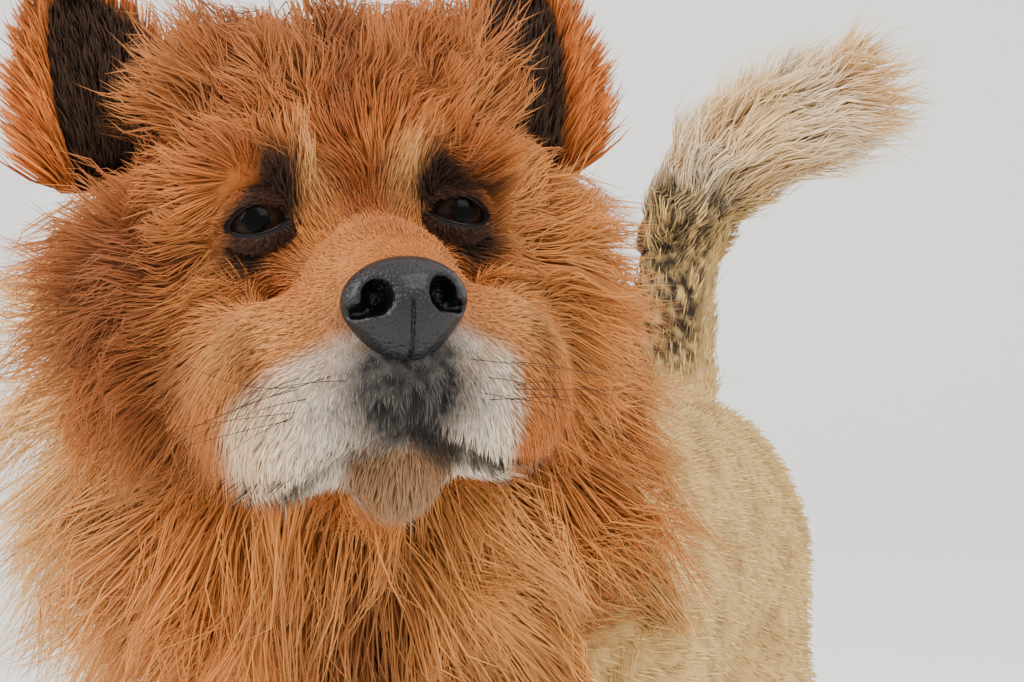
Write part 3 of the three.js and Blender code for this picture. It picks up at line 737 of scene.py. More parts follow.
skin_points = [body_points, of_head(head_points)]
skin_quads = [body_quads, head_quads + len(body_points)]
skin_tints = [body_tint(body_points) * 0.75, head_tint(head_points) * 0.72]
for side in (1, -1):
    pts, quads, place = ears[side]
    skin_quads.append(quads + sum(len(p) for p in skin_points))
    skin_points.append(of_head(pts))
    # The ear's cup is dark brown: partly its darker inside, partly painted shade in the hollow
    cup = (place[:, 2] < 0.5) & (place[:, 0] < 0.72)
    skin_tints.append(shade(RUST, DARK_BROWN * 0.6, cup.astype(float)) * 0.75)

lids = {side: lid_shell(side) for side in (1, -1)}
lid_start = sum(len(quads) for quads in skin_quads)
for side in (1, -1):
    pts, quads, reach = lids[side]
    skin_quads.append(quads + sum(len(p) for p in skin_points))
    skin_points.append(of_head(pts))
    skin_tints.append(shade(BLACK, DEEP * 0.5, step(2, 8, reach)))

all_points = np.concatenate(skin_points)
all_quads = np.concatenate(skin_quads)
coat_material = tinted_material("coat", 0.75, (90, 4.0, 0.6, 0.16), sheen=0.04)
skin_material = tinted_material("skin", 0.8, (160, 4.0, 0.6, 0.3), (700, 0.6, 0.002))
skin = piece("skin", all_points, all_quads, np.concatenate(skin_tints), skin_material, "body_coat")

bpy.context.view_layer.objects.active = skin
skin.select_set(True)
bpy.ops.object.mode_set(mode="EDIT")
bpy.ops.mesh.select_all(action="SELECT")
bpy.ops.uv.smart_project(angle_limit=math.radians(70), island_margin=0.001)
bpy.ops.object.mode_set(mode="OBJECT")
skin.data.uv_layers[0].name = "OFBake"
skin_uv = np.empty(len(skin.data.loops) * 2)
skin.data.uv_layers["OFBake"].data.foreach_get("uv", skin_uv)
skin_uv = skin_uv.reshape(-1, 4, 2)
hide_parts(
    "torso", "neck", "head", "ear_left", "ear_right", "tail", "tail_plume",
    "foreleg_left", "foreleg_right", "hindleg_left", "hindleg_right",
    "forepaw_left", "forepaw_right", "hindpaw_left", "hindpaw_right",
)

# Tufts: three-sided tapered blades along a bent line, kept within a little more than the solids' box

ROOM_SHARE, ROOM_MORE = 0.03, 0.005
DRAWN_IN, DRAWINGS = 0.92, 14
box = np.array(cad_box)
room = (box[1] - box[0]) * ROOM_SHARE + ROOM_MORE
room_low, room_high = box[0] - room, box[1] + room
room_low[2] = 0

# Half the width and the whole length of a tuft's patch on OFBake
PATCH_WIDE, PATCH_LONG = 0.0012, 0.0028
BLADE_WIDTHS = {1: (0.8, 0.85), 2: (0.75, 1.0, 0.62)}


class Coat:
    """Roots on the skin with a way out, a lie, a length, a width and colours."""

    def __init__(self, faces, weights, count):
        """Scatter roots over the given skin quads."""
        quads = all_quads[faces]
        corners = all_points[quads]
        area = 0.5 * np.linalg.norm(
            np.cross(corners[:, 2] - corners[:, 0], corners[:, 3] - corners[:, 1]), axis=1)
        chance = np.cumsum(area * weights)
        picks = np.searchsorted(chance, (np.arange(count) + rng.uniform(0, 1, count)) / count * chance[-1])
        picks = np.minimum(picks, len(faces) - 1)
        u, v = rng.uniform(0, 1, (2, count, 1))
        c = corners[picks]
        t = skin_uv[faces[picks]]
        self.root, self.uv = (
            (1 - u) * (1 - v) * k[:, 0] + u * (1 - v) * k[:, 1] + u * v * k[:, 2] + (1 - u) * v * k[:, 3]
            for k in (c, t))
        self.normal = unit(np.cross(c[:, 2] - c[:, 0], c[:, 3] - c[:, 1]))
        self.count = count
        self.pull = np.zeros((count, 3))

    def tips(self):
        return self.root + self.length[:, None] * 0.5 * (self.out + self.lie)

    def kept_in_room(self, points):
        """Each tuft drawn in towards its root until it is within the room."""
        root = self.root[:, None]
        for _ in range(DRAWINGS):
            here = placed(points)
            out = ((here < room_low) | (here > room_high)).any(axis=(1, 2))
            points[out] = root[out] + (points[out] - root[out]) * DRAWN_IN
        return points

    def clump(self, spacing, pull):
        """Tips lean towards the nearest of a set of guide tufts."""
        cells = {}
        for i, p in enumerate(np.floor(self.root / spacing).astype(int)):
            cells.setdefault(tuple(p), i)
        guides = list(cells.values())
        tree = KDTree(len(guides))
        for k, g in enumerate(guides):
            tree.insert(self.root[g], k)
        tree.balance()
        near = np.array([guides[tree.find(p)[1]] for p in self.root])
        ends = self.tips()
        self.pull = self.pull + (ends[near] - ends) * pull

    def mesh(self, name, slot_name, rings, unrest, swirl=0.0, swirl_size=50):
        """Build the tufts as one object, painted from root to tip."""
        n = self.count
        steps = np.linspace(0, 1, rings + 2)[:-1]
        along = unit(self.out + self.lie)
        spin = rng.uniform(-0.7, 0.7, (n, 1))
        wide = unit(np.cross(along, self.normal + 1e-3))
        flat = unit(np.cross(wide, along))
        across = wide * np.cos(spin) + flat * np.sin(spin)
        flat = flat * np.cos(spin) - wide * np.sin(spin)
        wave = rng.normal(0, 1, (n, 3)) * (unrest * self.length)[:, None]

        def at(t):
            bend = self.out * (t - t * t / 2) + self.lie * (t * t / 2)
            return self.root + self.length[:, None] * bend + self.pull * t * t + wave * t * (1 - t) * 2

        points = []
        for k, t in enumerate(steps):
            w = (self.width * BLADE_WIDTHS[rings][k] * 0.5)[:, None]
            middle = at(t) - (self.normal * 1.2 if k == 0 else 0)
            if swirl:
                middle = middle + waves_way(middle, swirl_size) * swirl * t
            points.append(np.stack(
                [middle + across * w, middle - across * w, middle + flat * w * 0.75], axis=1))
        tip = at(1.0)
        if swirl:
            tip = tip + waves_way(tip, swirl_size) * swirl
        tip = tip[:, None]
        points = self.kept_in_room(np.concatenate([np.concatenate(points, axis=1), tip], axis=1))
        size = points.shape[1]
        faces = []
        for k in range(rings):
            for j in range(3):
                a, b = 3 * k + j, 3 * k + (j + 1) % 3
                faces += [(a, b, b + 3), (a, b + 3, a + 3)]
        for j in range(3):
            a, b = 3 * rings + j, 3 * rings + (j + 1) % 3
            faces.append((a, b, size - 1))
        faces = np.array(faces)
        all_faces = (faces[None] + (np.arange(n) * size)[:, None, None]).reshape(-1, 3)
        t = np.concatenate([np.repeat(steps, 3), [1.0]])
        vary = np.exp(self.vary)[:, None, None]
        colours = np.where(t[None, :, None] < 0.5,
                           mix(self.dark[:, None], self.tint[:, None], 2 * t[None, :, None]),
                           mix(self.tint[:, None], self.tip[:, None], 2 * t[None, :, None] - 1))
        tint = (colours * vary).reshape(-1, 3)
        obj = piece(name, points.reshape(-1, 3), all_faces, tint, coat_material, slot_name)
        spread = np.concatenate([np.tile([-1, 1, 0], len(steps)), [0]])
        patch = np.stack([PATCH_WIDE * spread, PATCH_LONG * (t - 0.5)], axis=-1)
        uv = (self.uv[:, None] + patch[None]).reshape(-1, 2)
        layer = obj.data.uv_layers.new(name="OFBake")
        layer.data.foreach_set("uv", uv[all_faces.ravel()].astype(np.float32).ravel())


# Coats, region by region

centres = all_points[all_quads].mean(axis=1)
n_body, n_head = len(body_quads), len(head_quads)
COUNT_SHARE = 1.0


def count_of(n):
    return int(n * COUNT_SHARE)


def jitter(v, amount):
    return unit(v + rng.normal(0, amount, v.shape))


def flow_on(normal, way):
    """A way laid flat on the surface."""
    return unit(way - (way * normal).sum(axis=1, keepdims=True) * normal)


def shades(coat, tint, dark, tip, vary, tip_to, tip_share):
    """Darker roots, lighter tips that lean to a colour, and a brightness of each tuft's own."""
    coat.tint = tint
    coat.dark = tint * dark
    coat.tip = mix(tint * tip, tip_to, tip_share)
    coat.vary = rng.normal(0, vary, coat.count)


def vary_length(coat, spread):
    coat.length = coat.length * np.exp(rng.normal(0, spread, coat.count)).clip(0.55, 1.45)


# The head's coat: short within FACE_REACH of the nose, longer behind it

FACE_REACH, SHORTEST_BY_EAR = 98, 17
head_faces = np.arange(n_body, n_body + n_head)
q = to_head(centres[head_faces])
ahead_of_neck = (q - vec(0, 60, -20)) @ unit(vec(0, -0.8, 0.6)) > -22
under_nose = np.linalg.norm((q - vec(0, -80, -49)) / vec(1.2, 1, 1), axis=-1) < 18
bare = (over_eye(q) < 1.15) | under_nose
head_faces, q = head_faces[ahead_of_neck & ~bare], q[ahead_of_neck & ~bare]


def in_front_of_ear(q):
    """True where a place in the head's frame is close before an ear's cup."""
    local = ear_local(q)
    v = np.clip(local[:, 2] / EAR_HEIGHT, 0, 1)
    half = EAR_HALF_WIDTH * (1 - v * v) ** 0.62
    x, y, z = local.T
    return (x > -0.9 * half) & (x < 0.75 * half) & (np.abs(y + 13) < 26) & (z > 0) & (z < EAR_HEIGHT)


def head_coat(name, faces, count, rings):
    coat = Coat(faces, 1 + 1.3 * step(135, 92, nose_distance(to_head(centres[faces]))), count)
    q = to_head(coat.root)
    normal = unit(coat.normal @ HEAD_TURNING)
    x, y, z = q.T
    side = np.sign(x)
    eye = eye_reach(q)
    flow = unit(q - vec(0, -78, -44))
    eye_centre = np.stack([side * EYE_X, np.ones_like(x), np.zeros_like(x)], axis=1)
    away = (q - eye_centre) * vec(1.6, 0.3, 0.9)
    flow = flow + unit(away) * (0.8 * (1 - step(16, 40, eye)))[:, None]
    low = step(-50, -95, z) * (y < 0)
    flow = unit(flow) + vec(0, 0.1, -0.75) * low[:, None]
    cheek = step(40, 80, np.abs(x)) * step(30, -40, z)
    flow = unit(flow) - vec(0, 0, 0.45) * cheek[:, None]
    flow = flow + 0.16 * waves_way(q, 46)
    lie = flow_on(normal, flow)
    r = nose_distance(q)
    rise = mix(0.2, 0.62, step(70, 150, r)) + 0.4 * cheek
    coat.out = jitter(way_of_head(lie + normal * (rise + 0.25)[:, None]), 0.1)
    coat.lie = jitter(way_of_head(lie + normal * (rise * 0.6)[:, None] - vec(0, 0, 0.16)), 0.08)
    coat.length = mix(6, 42, step(42, 160, r)) * mix(1, 0.42, np.exp(-((eye - 14) / 10) ** 2))
    coat.length *= 1 + 0.15 * cheek
    nose_near = step(36, 25, np.linalg.norm(q - vec(0, -80, -50), axis=1))
    coat.length *= mix(1, 0.36, nose_near)
    below_lip = step(-98, -104, z) * step(28, 16, np.abs(x)) * (y < -20)
    coat.length *= 1 + 0.15 * below_lip
    brow = mark(np.stack([np.abs(x), y, z], axis=-1), (24, -24, 20), (12, 30, 12))
    coat.length *= 1 + 0.1 * brow
    vary_length(coat, 0.18)
    for _ in range(4):
        tips = coat.tips()
        hides_ear = in_front_of_ear(to_head(tips)) | in_front_of_ear(to_head(0.5 * (tips + coat.root)))
        coat.length[hides_ear] = np.maximum(coat.length[hides_ear] * 0.8, SHORTEST_BY_EAR)
    coat.width = mix(0.58, 1.1, step(50, 150, r)) * rng.uniform(0.7, 1.25, coat.count)
    tint = head_tint(q)
    shades(coat, tint, 0.66, 1.12, 0.1, GOLD, 0.13)
    pale = tint.min(axis=1) > 0.22
    coat.tip[pale] = coat.tint[pale] * 1.15
    coat.dark[pale] = coat.tint[pale] * 0.62
    coal = tint.max(axis=1) < 0.1
    coat.tip[coal] = coat.tint[coal] * 1.3
    far = float(r.mean() > 90)
    coat.clump(mix(5.0, 10.0, far), mix(0.35, 0.26, far))
    coat.mesh(name, "face_coat", rings, 0.05, 6 * far, 34)


near_face = nose_distance(q) < FACE_REACH
on_left = q[:, 0] > 0
head_coat("coat_face_left", head_faces[near_face & on_left], count_of(14500), 1)
head_coat("coat_face_right", head_faces[near_face & ~on_left], count_of(14500), 1)
head_coat("coat_head_left", head_faces[~near_face & on_left], count_of(9800), 2)
head_coat("coat_head_right", head_faces[~near_face & ~on_left], count_of(9800), 2)

# Fine hair on the lids


def lid_coat(side):
    start = lid_start + (0 if side > 0 else len(lids[1][1]))
    reach = lids[side][2][lids[side][1]].min(axis=1)
    deepest = lids[side][2][lids[side][1]].max(axis=1)
    faces = start + np.flatnonzero((reach >= 0.2) & (deepest < 9))
    coat = Coat(faces, np.ones(len(faces)), count_of(2600))
    q = to_head(coat.root)
    centre = vec(side * EYE_X, 1, 0)
    outwards = unit((q - centre) * vec(1, 0.15, 1))
    above = step(0, 4, q[:, 2] - centre[2])[:, None]
    sweep = mix(outwards + vec(side * 0.7, 0, 0.1), 0.25 * outwards + vec(side * 0.9, 0, -0.45), above)
    lie = flow_on(unit(coat.normal @ HEAD_TURNING), sweep)
    coat.out = jitter(way_of_head(lie + unit(coat.normal @ HEAD_TURNING) * 0.35), 0.16)
    coat.lie = jitter(way_of_head(lie), 0.16)
    coat.length = rng.uniform(3.0, 6.5, coat.count)
    coat.width = rng.uniform(0.35, 0.65, coat.count)
    shades(coat, head_tint(q), 0.5, 1.3, 0.3, RUST, 0.1)
    coat.clump(2.5, 0.4)
    coat.mesh("coat_lid_" + ("left" if side > 0 else "right"), "face_coat", 1, 0.05)


lid_coat(1)
lid_coat(-1)

# The ears' coat: plush behind and on the rims, a sparse dark coat in the cup, darkened partly by painted
# shade in the hollow


def ear_coat(side):
    start = n_body + n_head + sum(len(ears[s][1]) for s in (1, -1) if s > side)
    faces = np.arange(start, start + len(ears[side][1]))
    quads = ears[side][1]
    place = ears[side][2][quads]
    u, _, back = place.mean(axis=1).T
    in_cup = (back < 0.3) & (u < 0.74)
    name = "left" if side > 0 else "right"
    for part, chosen, count, rings in (("rim", ~in_cup, 3600, 2), ("cup", in_cup, 1500, 1)):
        coat = Coat(faces[chosen], np.ones(np.count_nonzero(chosen)), count_of(count))
        q = to_head(coat.root)
        local = (q * vec(side, 1, 1) - EAR_ROOT) @ EAR_TURN
        normal = unit(coat.normal @ HEAD_TURNING)
        up = unit((local * vec(1.3, 0, 0) + vec(0, 0, 60)) @ EAR_TURN.T) * vec(side, 1, 1)
        lie = flow_on(normal, up)
        v = np.clip(local[:, 2] / EAR_HEIGHT, 0, 1)
        if part == "rim":
            edge = np.abs(local[:, 0]) / np.maximum(EAR_HALF_WIDTH * (1 - v * v) ** 0.62, 8)
            coat.length = mix(27, 16, v) * mix(1, 1.2, step(0.7, 1, edge))
            aside = unit(np.stack([local[:, 0], 0 * v, 0 * v], axis=1) @ EAR_TURN.T + 1e-6) * vec(side, 1, 1)
            coat.out = jitter(way_of_head(lie + normal * 0.6 + 0.25 * aside), 0.12)
            coat.lie = jitter(way_of_head(lie + normal * 0.3), 0.1)
            coat.width = rng.uniform(0.8, 1.8, coat.count)
            tint = shade(RUST, DEEP, 0.35 * step(0.3, 0.9, v))
        else:
            coat.length = mix(26, 13, v)
            coat.out = jitter(way_of_head(normal * 0.8 + lie * 0.8), 0.2)
            coat.lie = jitter(way_of_head(lie * 1.0 + normal * 0.3), 0.2)
            coat.width = rng.uniform(0.8, 1.5, coat.count)
            # Dark brown in the cup: partly its darker hair, partly painted shade in the hollow
            inner = step(0.75, 1, -local[:, 0] / np.maximum(EAR_HALF_WIDTH * (1 - v * v) ** 0.62, 8))
            coat.length *= 0.75 + 0.5 * inner
            tint = shade(DARK_BROWN * 0.5, DEEP, 0.7 * inner)
        vary_length(coat, 0.2)
        shades(coat, tint, 0.6, 1.1, 0.2, GOLD, 0.15 if part == "rim" else 0.04)
        coat.clump(8, 0.3)
        coat.mesh("coat_ear_" + part + "_" + name, "ear_coat", rings, 0.05)


ear_coat(1)
ear_coat(-1)

# The mane: from the head's cut back over the neck, chest and shoulders
body_faces = np.arange(n_body)
bc = centres[:n_body]
mane = mane_share(bc)
in_head = head_solid(to_head(bc)) < -14
on_tail = (tail_field(bc) < 3) & (bc[:, 2] > 478)
mane_faces = body_faces[(mane > 0.02) & ~in_head & ~on_tail]


def mane_coat(name, faces, count):
    coat = Coat(faces, mane_share(centres[faces]) ** 0.5, count)
    p = coat.root
    share = mane_share(p)
    span = MANE_BACK - MANE_FRONT
    s = np.clip((p - MANE_FRONT) @ unit(span) / np.linalg.norm(span), 0, 1)
    back = unit(mix(-FACE_CUT_WAY, -NECK_CUT_WAY, s[:, None]))
    centre = MANE_FRONT + s[:, None] * span
    radial = p - centre
    radial = unit(radial - (radial * back).sum(axis=1, keepdims=True) * back)
    under = np.maximum(0, -radial[:, 2])
    left_side = step(0.1, 0.8, radial[:, 0])
    fuller = (1 + 0.7 * np.maximum(0, -radial[:, 0])) * (1 - mix(0.15, 0.36, s) * left_side)
    flare = fuller * (mix(0.95, 0.5, s) + 0.1 * waves(p, 60, 31))
    coat.out = jitter(unit(radial * flare[:, None] + NECK_WAY * mix(0.35, 0.6, s)[:, None]), 0.1)
    lie = radial * (fuller * mix(0.5, 0.25, s))[:, None] + NECK_WAY * 0.9
    w = parting(p)
    apart = 0.35 * np.tanh(w / 8) * np.exp(-((w / 60) ** 2)) * (p[:, 1] < -200)
    lie = lie + apart[:, None] * vec(CHEST_COS, CHEST_SIN, 0)
    coat.lie = jitter(unit(lie) + waves_way(p, 80) * 0.13, 0.09)
    coat.length = (mix(110, 124, s) + 20 * under) * mix(0.3, 1, share)
    coat.length *= (1 - mix(0.1, 0.12, s) * left_side) * (1 + 0.14 * np.maximum(0, -radial[:, 0]))
    vary_length(coat, 0.13)
    coat.width = rng.uniform(0.8, 1.8, coat.count)
    shades(coat, body_tint(p), 0.7, 1.12, 0.11, GOLD, 0.35)
    coat.clump(18, 0.34)
    coat.clump(7, 0.22)
    coat.mesh(name, "mane_coat", 2, 0.06, 11, 48)


# How far forward the mane is parted into its front and back pieces
CHEST_FRONT = 139.05
mc = centres[mane_faces]
front = mc @ vec(CHEST_SIN, -CHEST_COS, 0) > CHEST_FRONT
for name, chosen, count in (
    ("coat_mane_front_left", (mc[:, 0] > -10) & front, 11800),
    ("coat_mane_front_right", (mc[:, 0] <= -10) & front, 11800),
    ("coat_mane_back_left", (mc[:, 0] > 0) & ~front, 5800),
    ("coat_mane_back_right", (mc[:, 0] <= 0) & ~front, 5800),
):
    mane_coat(name, mane_faces[chosen], count_of(count))

# The clipped body, legs and tail root
clip_faces = body_faces[mane < 0.9]
cc = centres[clip_faces]


def clip_coat(name, faces, count):
    coat = Coat(faces, 1.0 - 0.8 * mane_share(centres[faces]), count)
    p = coat.root
    z = p[:, 2]
    leg = step(300, 230, z)
    way = mix(vec(0, 1, -0.35), vec(0, 0.12, -1), leg[:, None])
    tail_here = (tail_field(p) < 3) & (z > 478)
    ends = np.array(TAIL_POINTS, dtype=float)
    nearest = np.argmin(np.linalg.norm(p[:, None] - ends[None], axis=2), axis=1).clip(0, len(ends) - 2)
    tail_way = unit(ends[nearest + 1] - ends[nearest])
    way = np.where(tail_here[:, None], tail_way, way)
    lie = flow_on(coat.normal, way)
    coat.out = jitter(lie + coat.normal * 0.55, 0.12)
    coat.lie = jitter(lie + coat.normal * 0.12, 0.1)
    coat.length = mix(11, 8.5, leg) * mix(1, 0.6, step(60, 20, z))
    vary_length(coat, 0.2)
    coat.width = rng.uniform(0.8, 1.7, coat.count) * mix(1, 0.7, leg)
    shades(coat, body_tint(p), 0.8, 1.05, 0.09, STRAW, 0.25)
    coat.mesh(name, "body_coat", 1, 0.03)


upper = cc[:, 2] > 250
clip_coat("coat_body_left", clip_faces[upper & (cc[:, 0] > 0)], count_of(9000))
clip_coat("coat_body_right", clip_faces[upper & (cc[:, 0] <= 0)], count_of(7000))
clip_coat("coat_legs_left", clip_faces[~upper & (cc[:, 0] > 0)], count_of(3600))
clip_coat("coat_legs_right", clip_faces[~upper & (cc[:, 0] <= 0)], count_of(3600))

# The plume
plume_faces = body_faces[(tail_field(bc) < 4) & (bc[:, 2] > 590)]


def plume_coat(name, faces, count):
    coat = Coat(faces, np.ones(len(faces)), count)
    p = coat.root
    line = curve_points(TAIL_POINTS, 60)
    near = np.argmin(np.linalg.norm(p[:, None] - line[None], axis=2), axis=1)
    along = unit(line[np.minimum(near + 1, 59)] - line[np.maximum(near - 1, 0)])
    radial = unit(coat.normal - (coat.normal * along).sum(axis=1, keepdims=True) * along * 0.5)
    full = step(600, 668, p[:, 2])[:, None]
    coat.out = jitter(radial * mix(0.35, 0.85, full) + along * 0.6, 0.15)
    coat.lie = jitter(radial * mix(0.05, 0.2, full) + along * 0.9 - vec(0, 0, 0.2), 0.11)
    below = step(0, 0.8, -coat.normal[:, 2]) + step(0.2, 0.9, coat.normal[:, 0])
    coat.length = mix(13, 68, full[:, 0]) * mix(1, 0.72, near / 59) * (1 + 0.22 * below * full[:, 0])
    vary_length(coat, 0.16)
    coat.width = rng.uniform(0.9, 1.9, coat.count)
    shades(coat, body_tint(p), 0.75, 1.1, 0.12, STRAW, 0.3)
    coat.clump(10, 0.35)
    coat.mesh(name, "plume_coat", 2, 0.06, 4, 40)


plume_coat("coat_plume", plume_faces, count_of(5600))

# Eyes: balls with a domed cornea

IRIS, PUPIL, EYE_WHITE = rgb(34, 20, 13), rgb(3, 3, 3), rgb(22, 15, 12)


def sphere(around, down):
    points = []
    for i in range(down + 1):
        a = math.pi * (0.004 + 0.992 * i / down)
        for j in range(around):
            b = 2 * math.pi * j / around
            points.append((math.sin(a) * math.cos(b), math.sin(a) * math.sin(b), math.cos(a)))
    return np.array(points), ring_quads(down + 1, around)[:, [0, 3, 2, 1]]


eye_material = tinted_material("eye", 0.16, (420, 3.0, 0.5, 0.4), specular=0.06)
for side, name in ((1, "eye_left"), (-1, "eye_right")):
    points, quads = sphere(48, 32)
    looks = unit(vec(side * 0.12, -1, -0.02))
    facing = points @ looks
    bulge = 1 + 0.06 * step(0.80, 0.97, facing)[:, None]
    tint = shade(IRIS, PUPIL, step(0.90, 0.92, facing))
    tint = shade(tint, EYE_WHITE, step(0.80, 0.74, facing))
    points = of_head(points * EYE_RADIUS * bulge + vec(side * EYE_X, 1, 0))
    ball = piece(name + "_ball", points, quads, tint, eye_material, "eye")
    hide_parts(name)

# The wet rim of each lid, and the whiskers

RIM_STEPS, RIM_RADIUS = 65, 0.7
WHISKERS_A_SIDE, WHISKER_RADIUS = 9, 0.17


def tubes(lines, radii, around=6):
    """Round tubes along lines of points, each line closed or tapered by its radii."""
    points, quads = [], []
    for line, radius in zip(lines, radii):
        tangent = unit(np.gradient(line, axis=0))
        across = unit(np.cross(tangent, vec(0.31, 0.2, 0.93)))
        up = np.cross(tangent, across)
        start = len(points) * around
        for i, r in enumerate(radius):
            ring = [line[i] + r * (math.cos(a) * across[i] + math.sin(a) * up[i])
                    for a in np.linspace(0, 2 * math.pi, around, endpoint=False)]
            points.append(ring)
        quads.append(ring_quads(len(radius), around, start))
    return np.concatenate(points), np.concatenate(quads)


wet_material = tinted_material("wet", 0.22, (300, 4.0, 0.6, 0.2))
for side, name in ((1, "lid_rim_left"), (-1, "lid_rim_right")):
    turns = np.linspace(0, 2 * math.pi, RIM_STEPS)
    rim = np.array([vec(EYE_X, 1, 0) + almond(t) * (EYE_RADIUS + 0.45) for t in turns]) * vec(side, 1, 1)
    points, quads = tubes([rim], [np.full(RIM_STEPS, RIM_RADIUS)])
    piece(name, of_head(points), quads, rgb(20, 15, 15), wet_material, "face_coat")


def whiskers():
    r = np.random.default_rng(77)
    lines, radii = [], []
    for side in (1, -1):
        for _ in range(WHISKERS_A_SIDE):
            root = vec(24 + 24 * r.random(), -80, -70 - 26 * r.random())
            root = settled(head_covered, root[None])[0]
            way = unit(vec(0.9, -0.35, 0.1 * r.normal() - 0.12))
            bend = vec(0.15, 0.75, -0.25 + 0.35 * r.normal())
            length = r.uniform(34, 66)
            t = np.linspace(0, 1, 10)[:, None]
            line = root + length * (way * t + 0.45 * bend * t * t)
            lines.append(line * vec(side, 1, 1))
            radii.append(WHISKER_RADIUS * (1 - 0.75 * t[:, 0]))
    return tubes(lines, radii, 4)


points, quads = whiskers()
piece("whiskers", of_head(points), quads, rgb(46, 32, 26), wet_material, "face_coat")

# Nose leather

NOSE = [egg((0, -80, -48), (24, 17, 17)), egg((0, -74, -57), (15, 15, 14))]
NOSTRILS = both([egg((12.5, -96, -47.5), (5.8, 15, 7)), egg((19, -90, -52), (6.5, 9, 2.6))])


def nostrils(q):
    return np.minimum(blended(NOSTRILS[:2], 2)(q), blended(NOSTRILS[2:], 2)(q))


def nose_skin(q):
    d = carved(blended(NOSE, 8)(q), nostrils(q), 2.5)
    groove = np.abs(q[..., 0]) - 0.3
    groove = np.maximum(groove, np.abs(d) - 2.2)
    groove = np.maximum(groove, np.maximum(q[..., 2] + 49, q[..., 1] + 76))
    return carved(d, groove, 1.8)


def nose_material():
    material, nodes, links, shader = new_material("nose")
    place = node(nodes, "ShaderNodeTexCoord")
    cells = node(nodes, "ShaderNodeTexVoronoi", Scale=620.0)
    noise = node(nodes, "ShaderNodeTexNoise", Scale=140.0, Detail=3.0)
    links.new(place.outputs["Object"], cells.inputs["Vector"])
    links.new(place.outputs["Object"], noise.inputs["Vector"])
    raised = node(nodes, "ShaderNodeBump", Strength=0.8, Distance=0.0009)
    raised.invert = True
    links.new(cells.outputs["Distance"], raised.inputs["Height"])
    links.new(raised.outputs["Normal"], shader.inputs["Normal"])
    ramp = node(nodes, "ShaderNodeValToRGB")
    ramp.color_ramp.elements[0].color = (0.004, 0.0044, 0.0056, 1)
    ramp.color_ramp.elements[1].color = (0.009, 0.0105, 0.014, 1)
    links.new(noise.outputs["Fac"], ramp.inputs["Fac"])
    tint = node(nodes, "ShaderNodeAttribute", attribute_name="tint")
    times = node(nodes, "ShaderNodeVectorMath", operation="MULTIPLY")
    links.new(ramp.outputs["Color"], times.inputs[0])
    links.new(tint.outputs["Color"], times.inputs[1])
    links.new(times.outputs["Vector"], shader.inputs["Base Color"])
    shader.inputs["Roughness"].default_value = 0.32
    shader.inputs["Specular IOR Level"].default_value = 0.2
    shader.inputs["Coat Weight"].default_value = 0.2
    shader.inputs["Coat Roughness"].default_value = 0.16
    return material


nose_points, nose_quads = net(nose_skin, (-30, -104, -84), (30, -52, -24), NOSE_PITCH)
# Painted shade inside the nostrils: the leather darkens to near black there
nostril_shade_tint = shade(np.ones(3), np.zeros(3), 0.96 * step(1.2, -0.6, nostrils(nose_points)))
nose = piece("nose_leather", of_head(nose_points), nose_quads, nostril_shade_tint, nose_material(), "nose_leather")
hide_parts("nose")

# Claws: bent cones that end just over the ground

CLAW_GROUND = 0.3


def claws():
    points, quads = [], []
    around, rings = 10, 7
    for side in (1, -1):
        for hind in (0, 1):
            px, py = (BACK_PASTERN if hind else FRONT_PASTERN)[:2]
            for s, f in zip(TOE_SPREAD, TOE_FORWARD):
                base = vec(px * side + s * 1.05, py - (10 if hind else 12) - f - 15, 12)
                quads.append(ring_quads(rings, around, len(points)))
                for i in range(rings):
                    t = i / (rings - 1)
                    middle = base + vec(s * 0.02 * t, -17 * t, -1.0 * t - 7.5 * t * t)
                    r = 3.6 * (1 - t) ** 0.6 + 0.3
                    for j in range(around):
                        a = 2 * math.pi * j / around
                        points.append(middle + vec(r * math.cos(a) * 0.8, 0, r * math.sin(a)))
    points = np.array(points)
    points[:, 2] = np.maximum(points[:, 2], CLAW_GROUND)
    return points, np.concatenate(quads)


claw_material = tinted_material("claw", 0.35, (400, 4.0, 0.6, 0.3), (500, 0.2, 0.0004))
claw_points, claw_quads = claws()
piece("claws", claw_points, claw_quads, rgb(70, 58, 50), claw_material, "nose_leather")

# Stage in metres: floor, light and camera

WALL, WALL_BEND, WALL_HEIGHT, STAGE_HALF, BEND_STEPS = 5.4, 0.8, 6.0, 9.0, 12


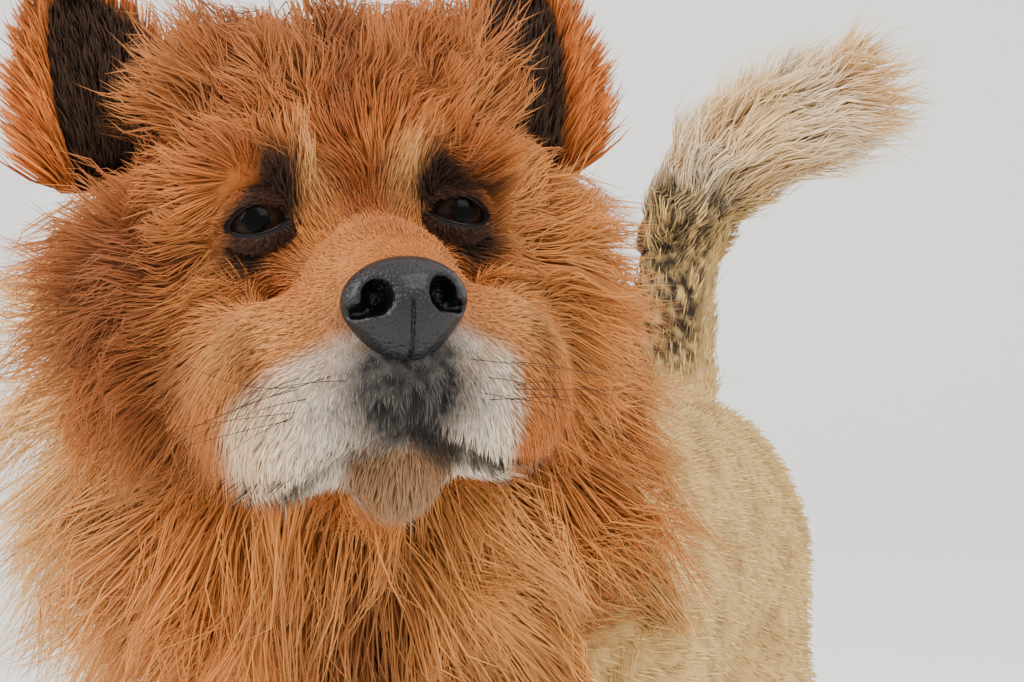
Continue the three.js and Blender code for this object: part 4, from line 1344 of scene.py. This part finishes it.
def stage_plane():
    """A floor that bends up into a wall, far enough off to walk round the dog."""
    rows = [(-STAGE_HALF, 0.0), (WALL - WALL_BEND, 0.0)]
    for i in range(1, BEND_STEPS + 1):
        a = math.pi / 2 * i / BEND_STEPS
        rows.append((WALL - WALL_BEND + WALL_BEND * math.sin(a), WALL_BEND - WALL_BEND * math.cos(a)))
    rows.append((WALL, WALL_HEIGHT))
    turn = Matrix.Rotation(math.radians(22), 3, "Z")
    points = [turn @ Vector((x, y, z)) for y, z in rows for x in (-STAGE_HALF, STAGE_HALF)]
    quads = [(2 * i, 2 * i + 1, 2 * i + 3, 2 * i + 2) for i in range(len(rows) - 1)]
    return np.array([list(p) for p in points]), np.array(quads)


floor_points, floor_quads = stage_plane()
floor = make_object("floor", floor_points, floor_quads)
floor_material, nodes, links, shader = new_material("floor")
shader.inputs["Base Color"].default_value = (0.98, 0.98, 0.955, 1)
shader.inputs["Roughness"].default_value = 0.9
floor.data.materials.append(floor_material)

# The photo's view: focal length and width in its pixels, and the camera's place by the head, in metres
FOCAL_PX, PHOTO_PX, SENSOR_WIDTH = 1690, 1024, 36
CAMERA_AWAY, CAMERA_ASIDE, CAMERA_BELOW = 0.710, 0.0653, 0.051
CAMERA_TURN = math.radians(22)
away = vec(math.sin(CAMERA_TURN), -math.cos(CAMERA_TURN), 0)
right = vec(math.cos(CAMERA_TURN), math.sin(CAMERA_TURN), 0)
target = placed(HEAD_AT)
camera_data = bpy.data.cameras.new("camera")
camera_data.lens = FOCAL_PX / PHOTO_PX * SENSOR_WIDTH
camera_data.clip_start = 0.01
camera = bpy.data.objects.new("camera", camera_data)
bpy.context.collection.objects.link(camera)
camera.location = target + CAMERA_AWAY * away + CAMERA_ASIDE * right - vec(0, 0, CAMERA_BELOW)
camera.rotation_euler = (math.radians(90), 0, CAMERA_TURN)
bpy.context.scene.camera = camera


def area_light(name, place, aim, size, power, colour):
    data = bpy.data.lights.new(name, "AREA")
    data.energy, data.size, data.color = power, size, colour
    light = bpy.data.objects.new(name, data)
    light.location = place
    light.rotation_euler = (Vector(aim) - Vector(place)).to_track_quat("-Z", "Y").to_euler()
    bpy.context.collection.objects.link(light)


area_light("key", (-1.5, -1.5, 1.7), (0, -0.2, 0.5), 1.3, 56, (1.0, 0.97, 0.93))
area_light("fill", (1.5, -0.9, 2.3), (0, -0.1, 0.45), 1.6, 47, (1.0, 0.98, 0.96))
world = bpy.data.worlds.new("soft")
world.use_nodes = True
world.node_tree.nodes["Background"].inputs["Color"].default_value = (1.0, 0.985, 0.96, 1)
world.node_tree.nodes["Background"].inputs["Strength"].default_value = 1.45
bpy.context.scene.world = world
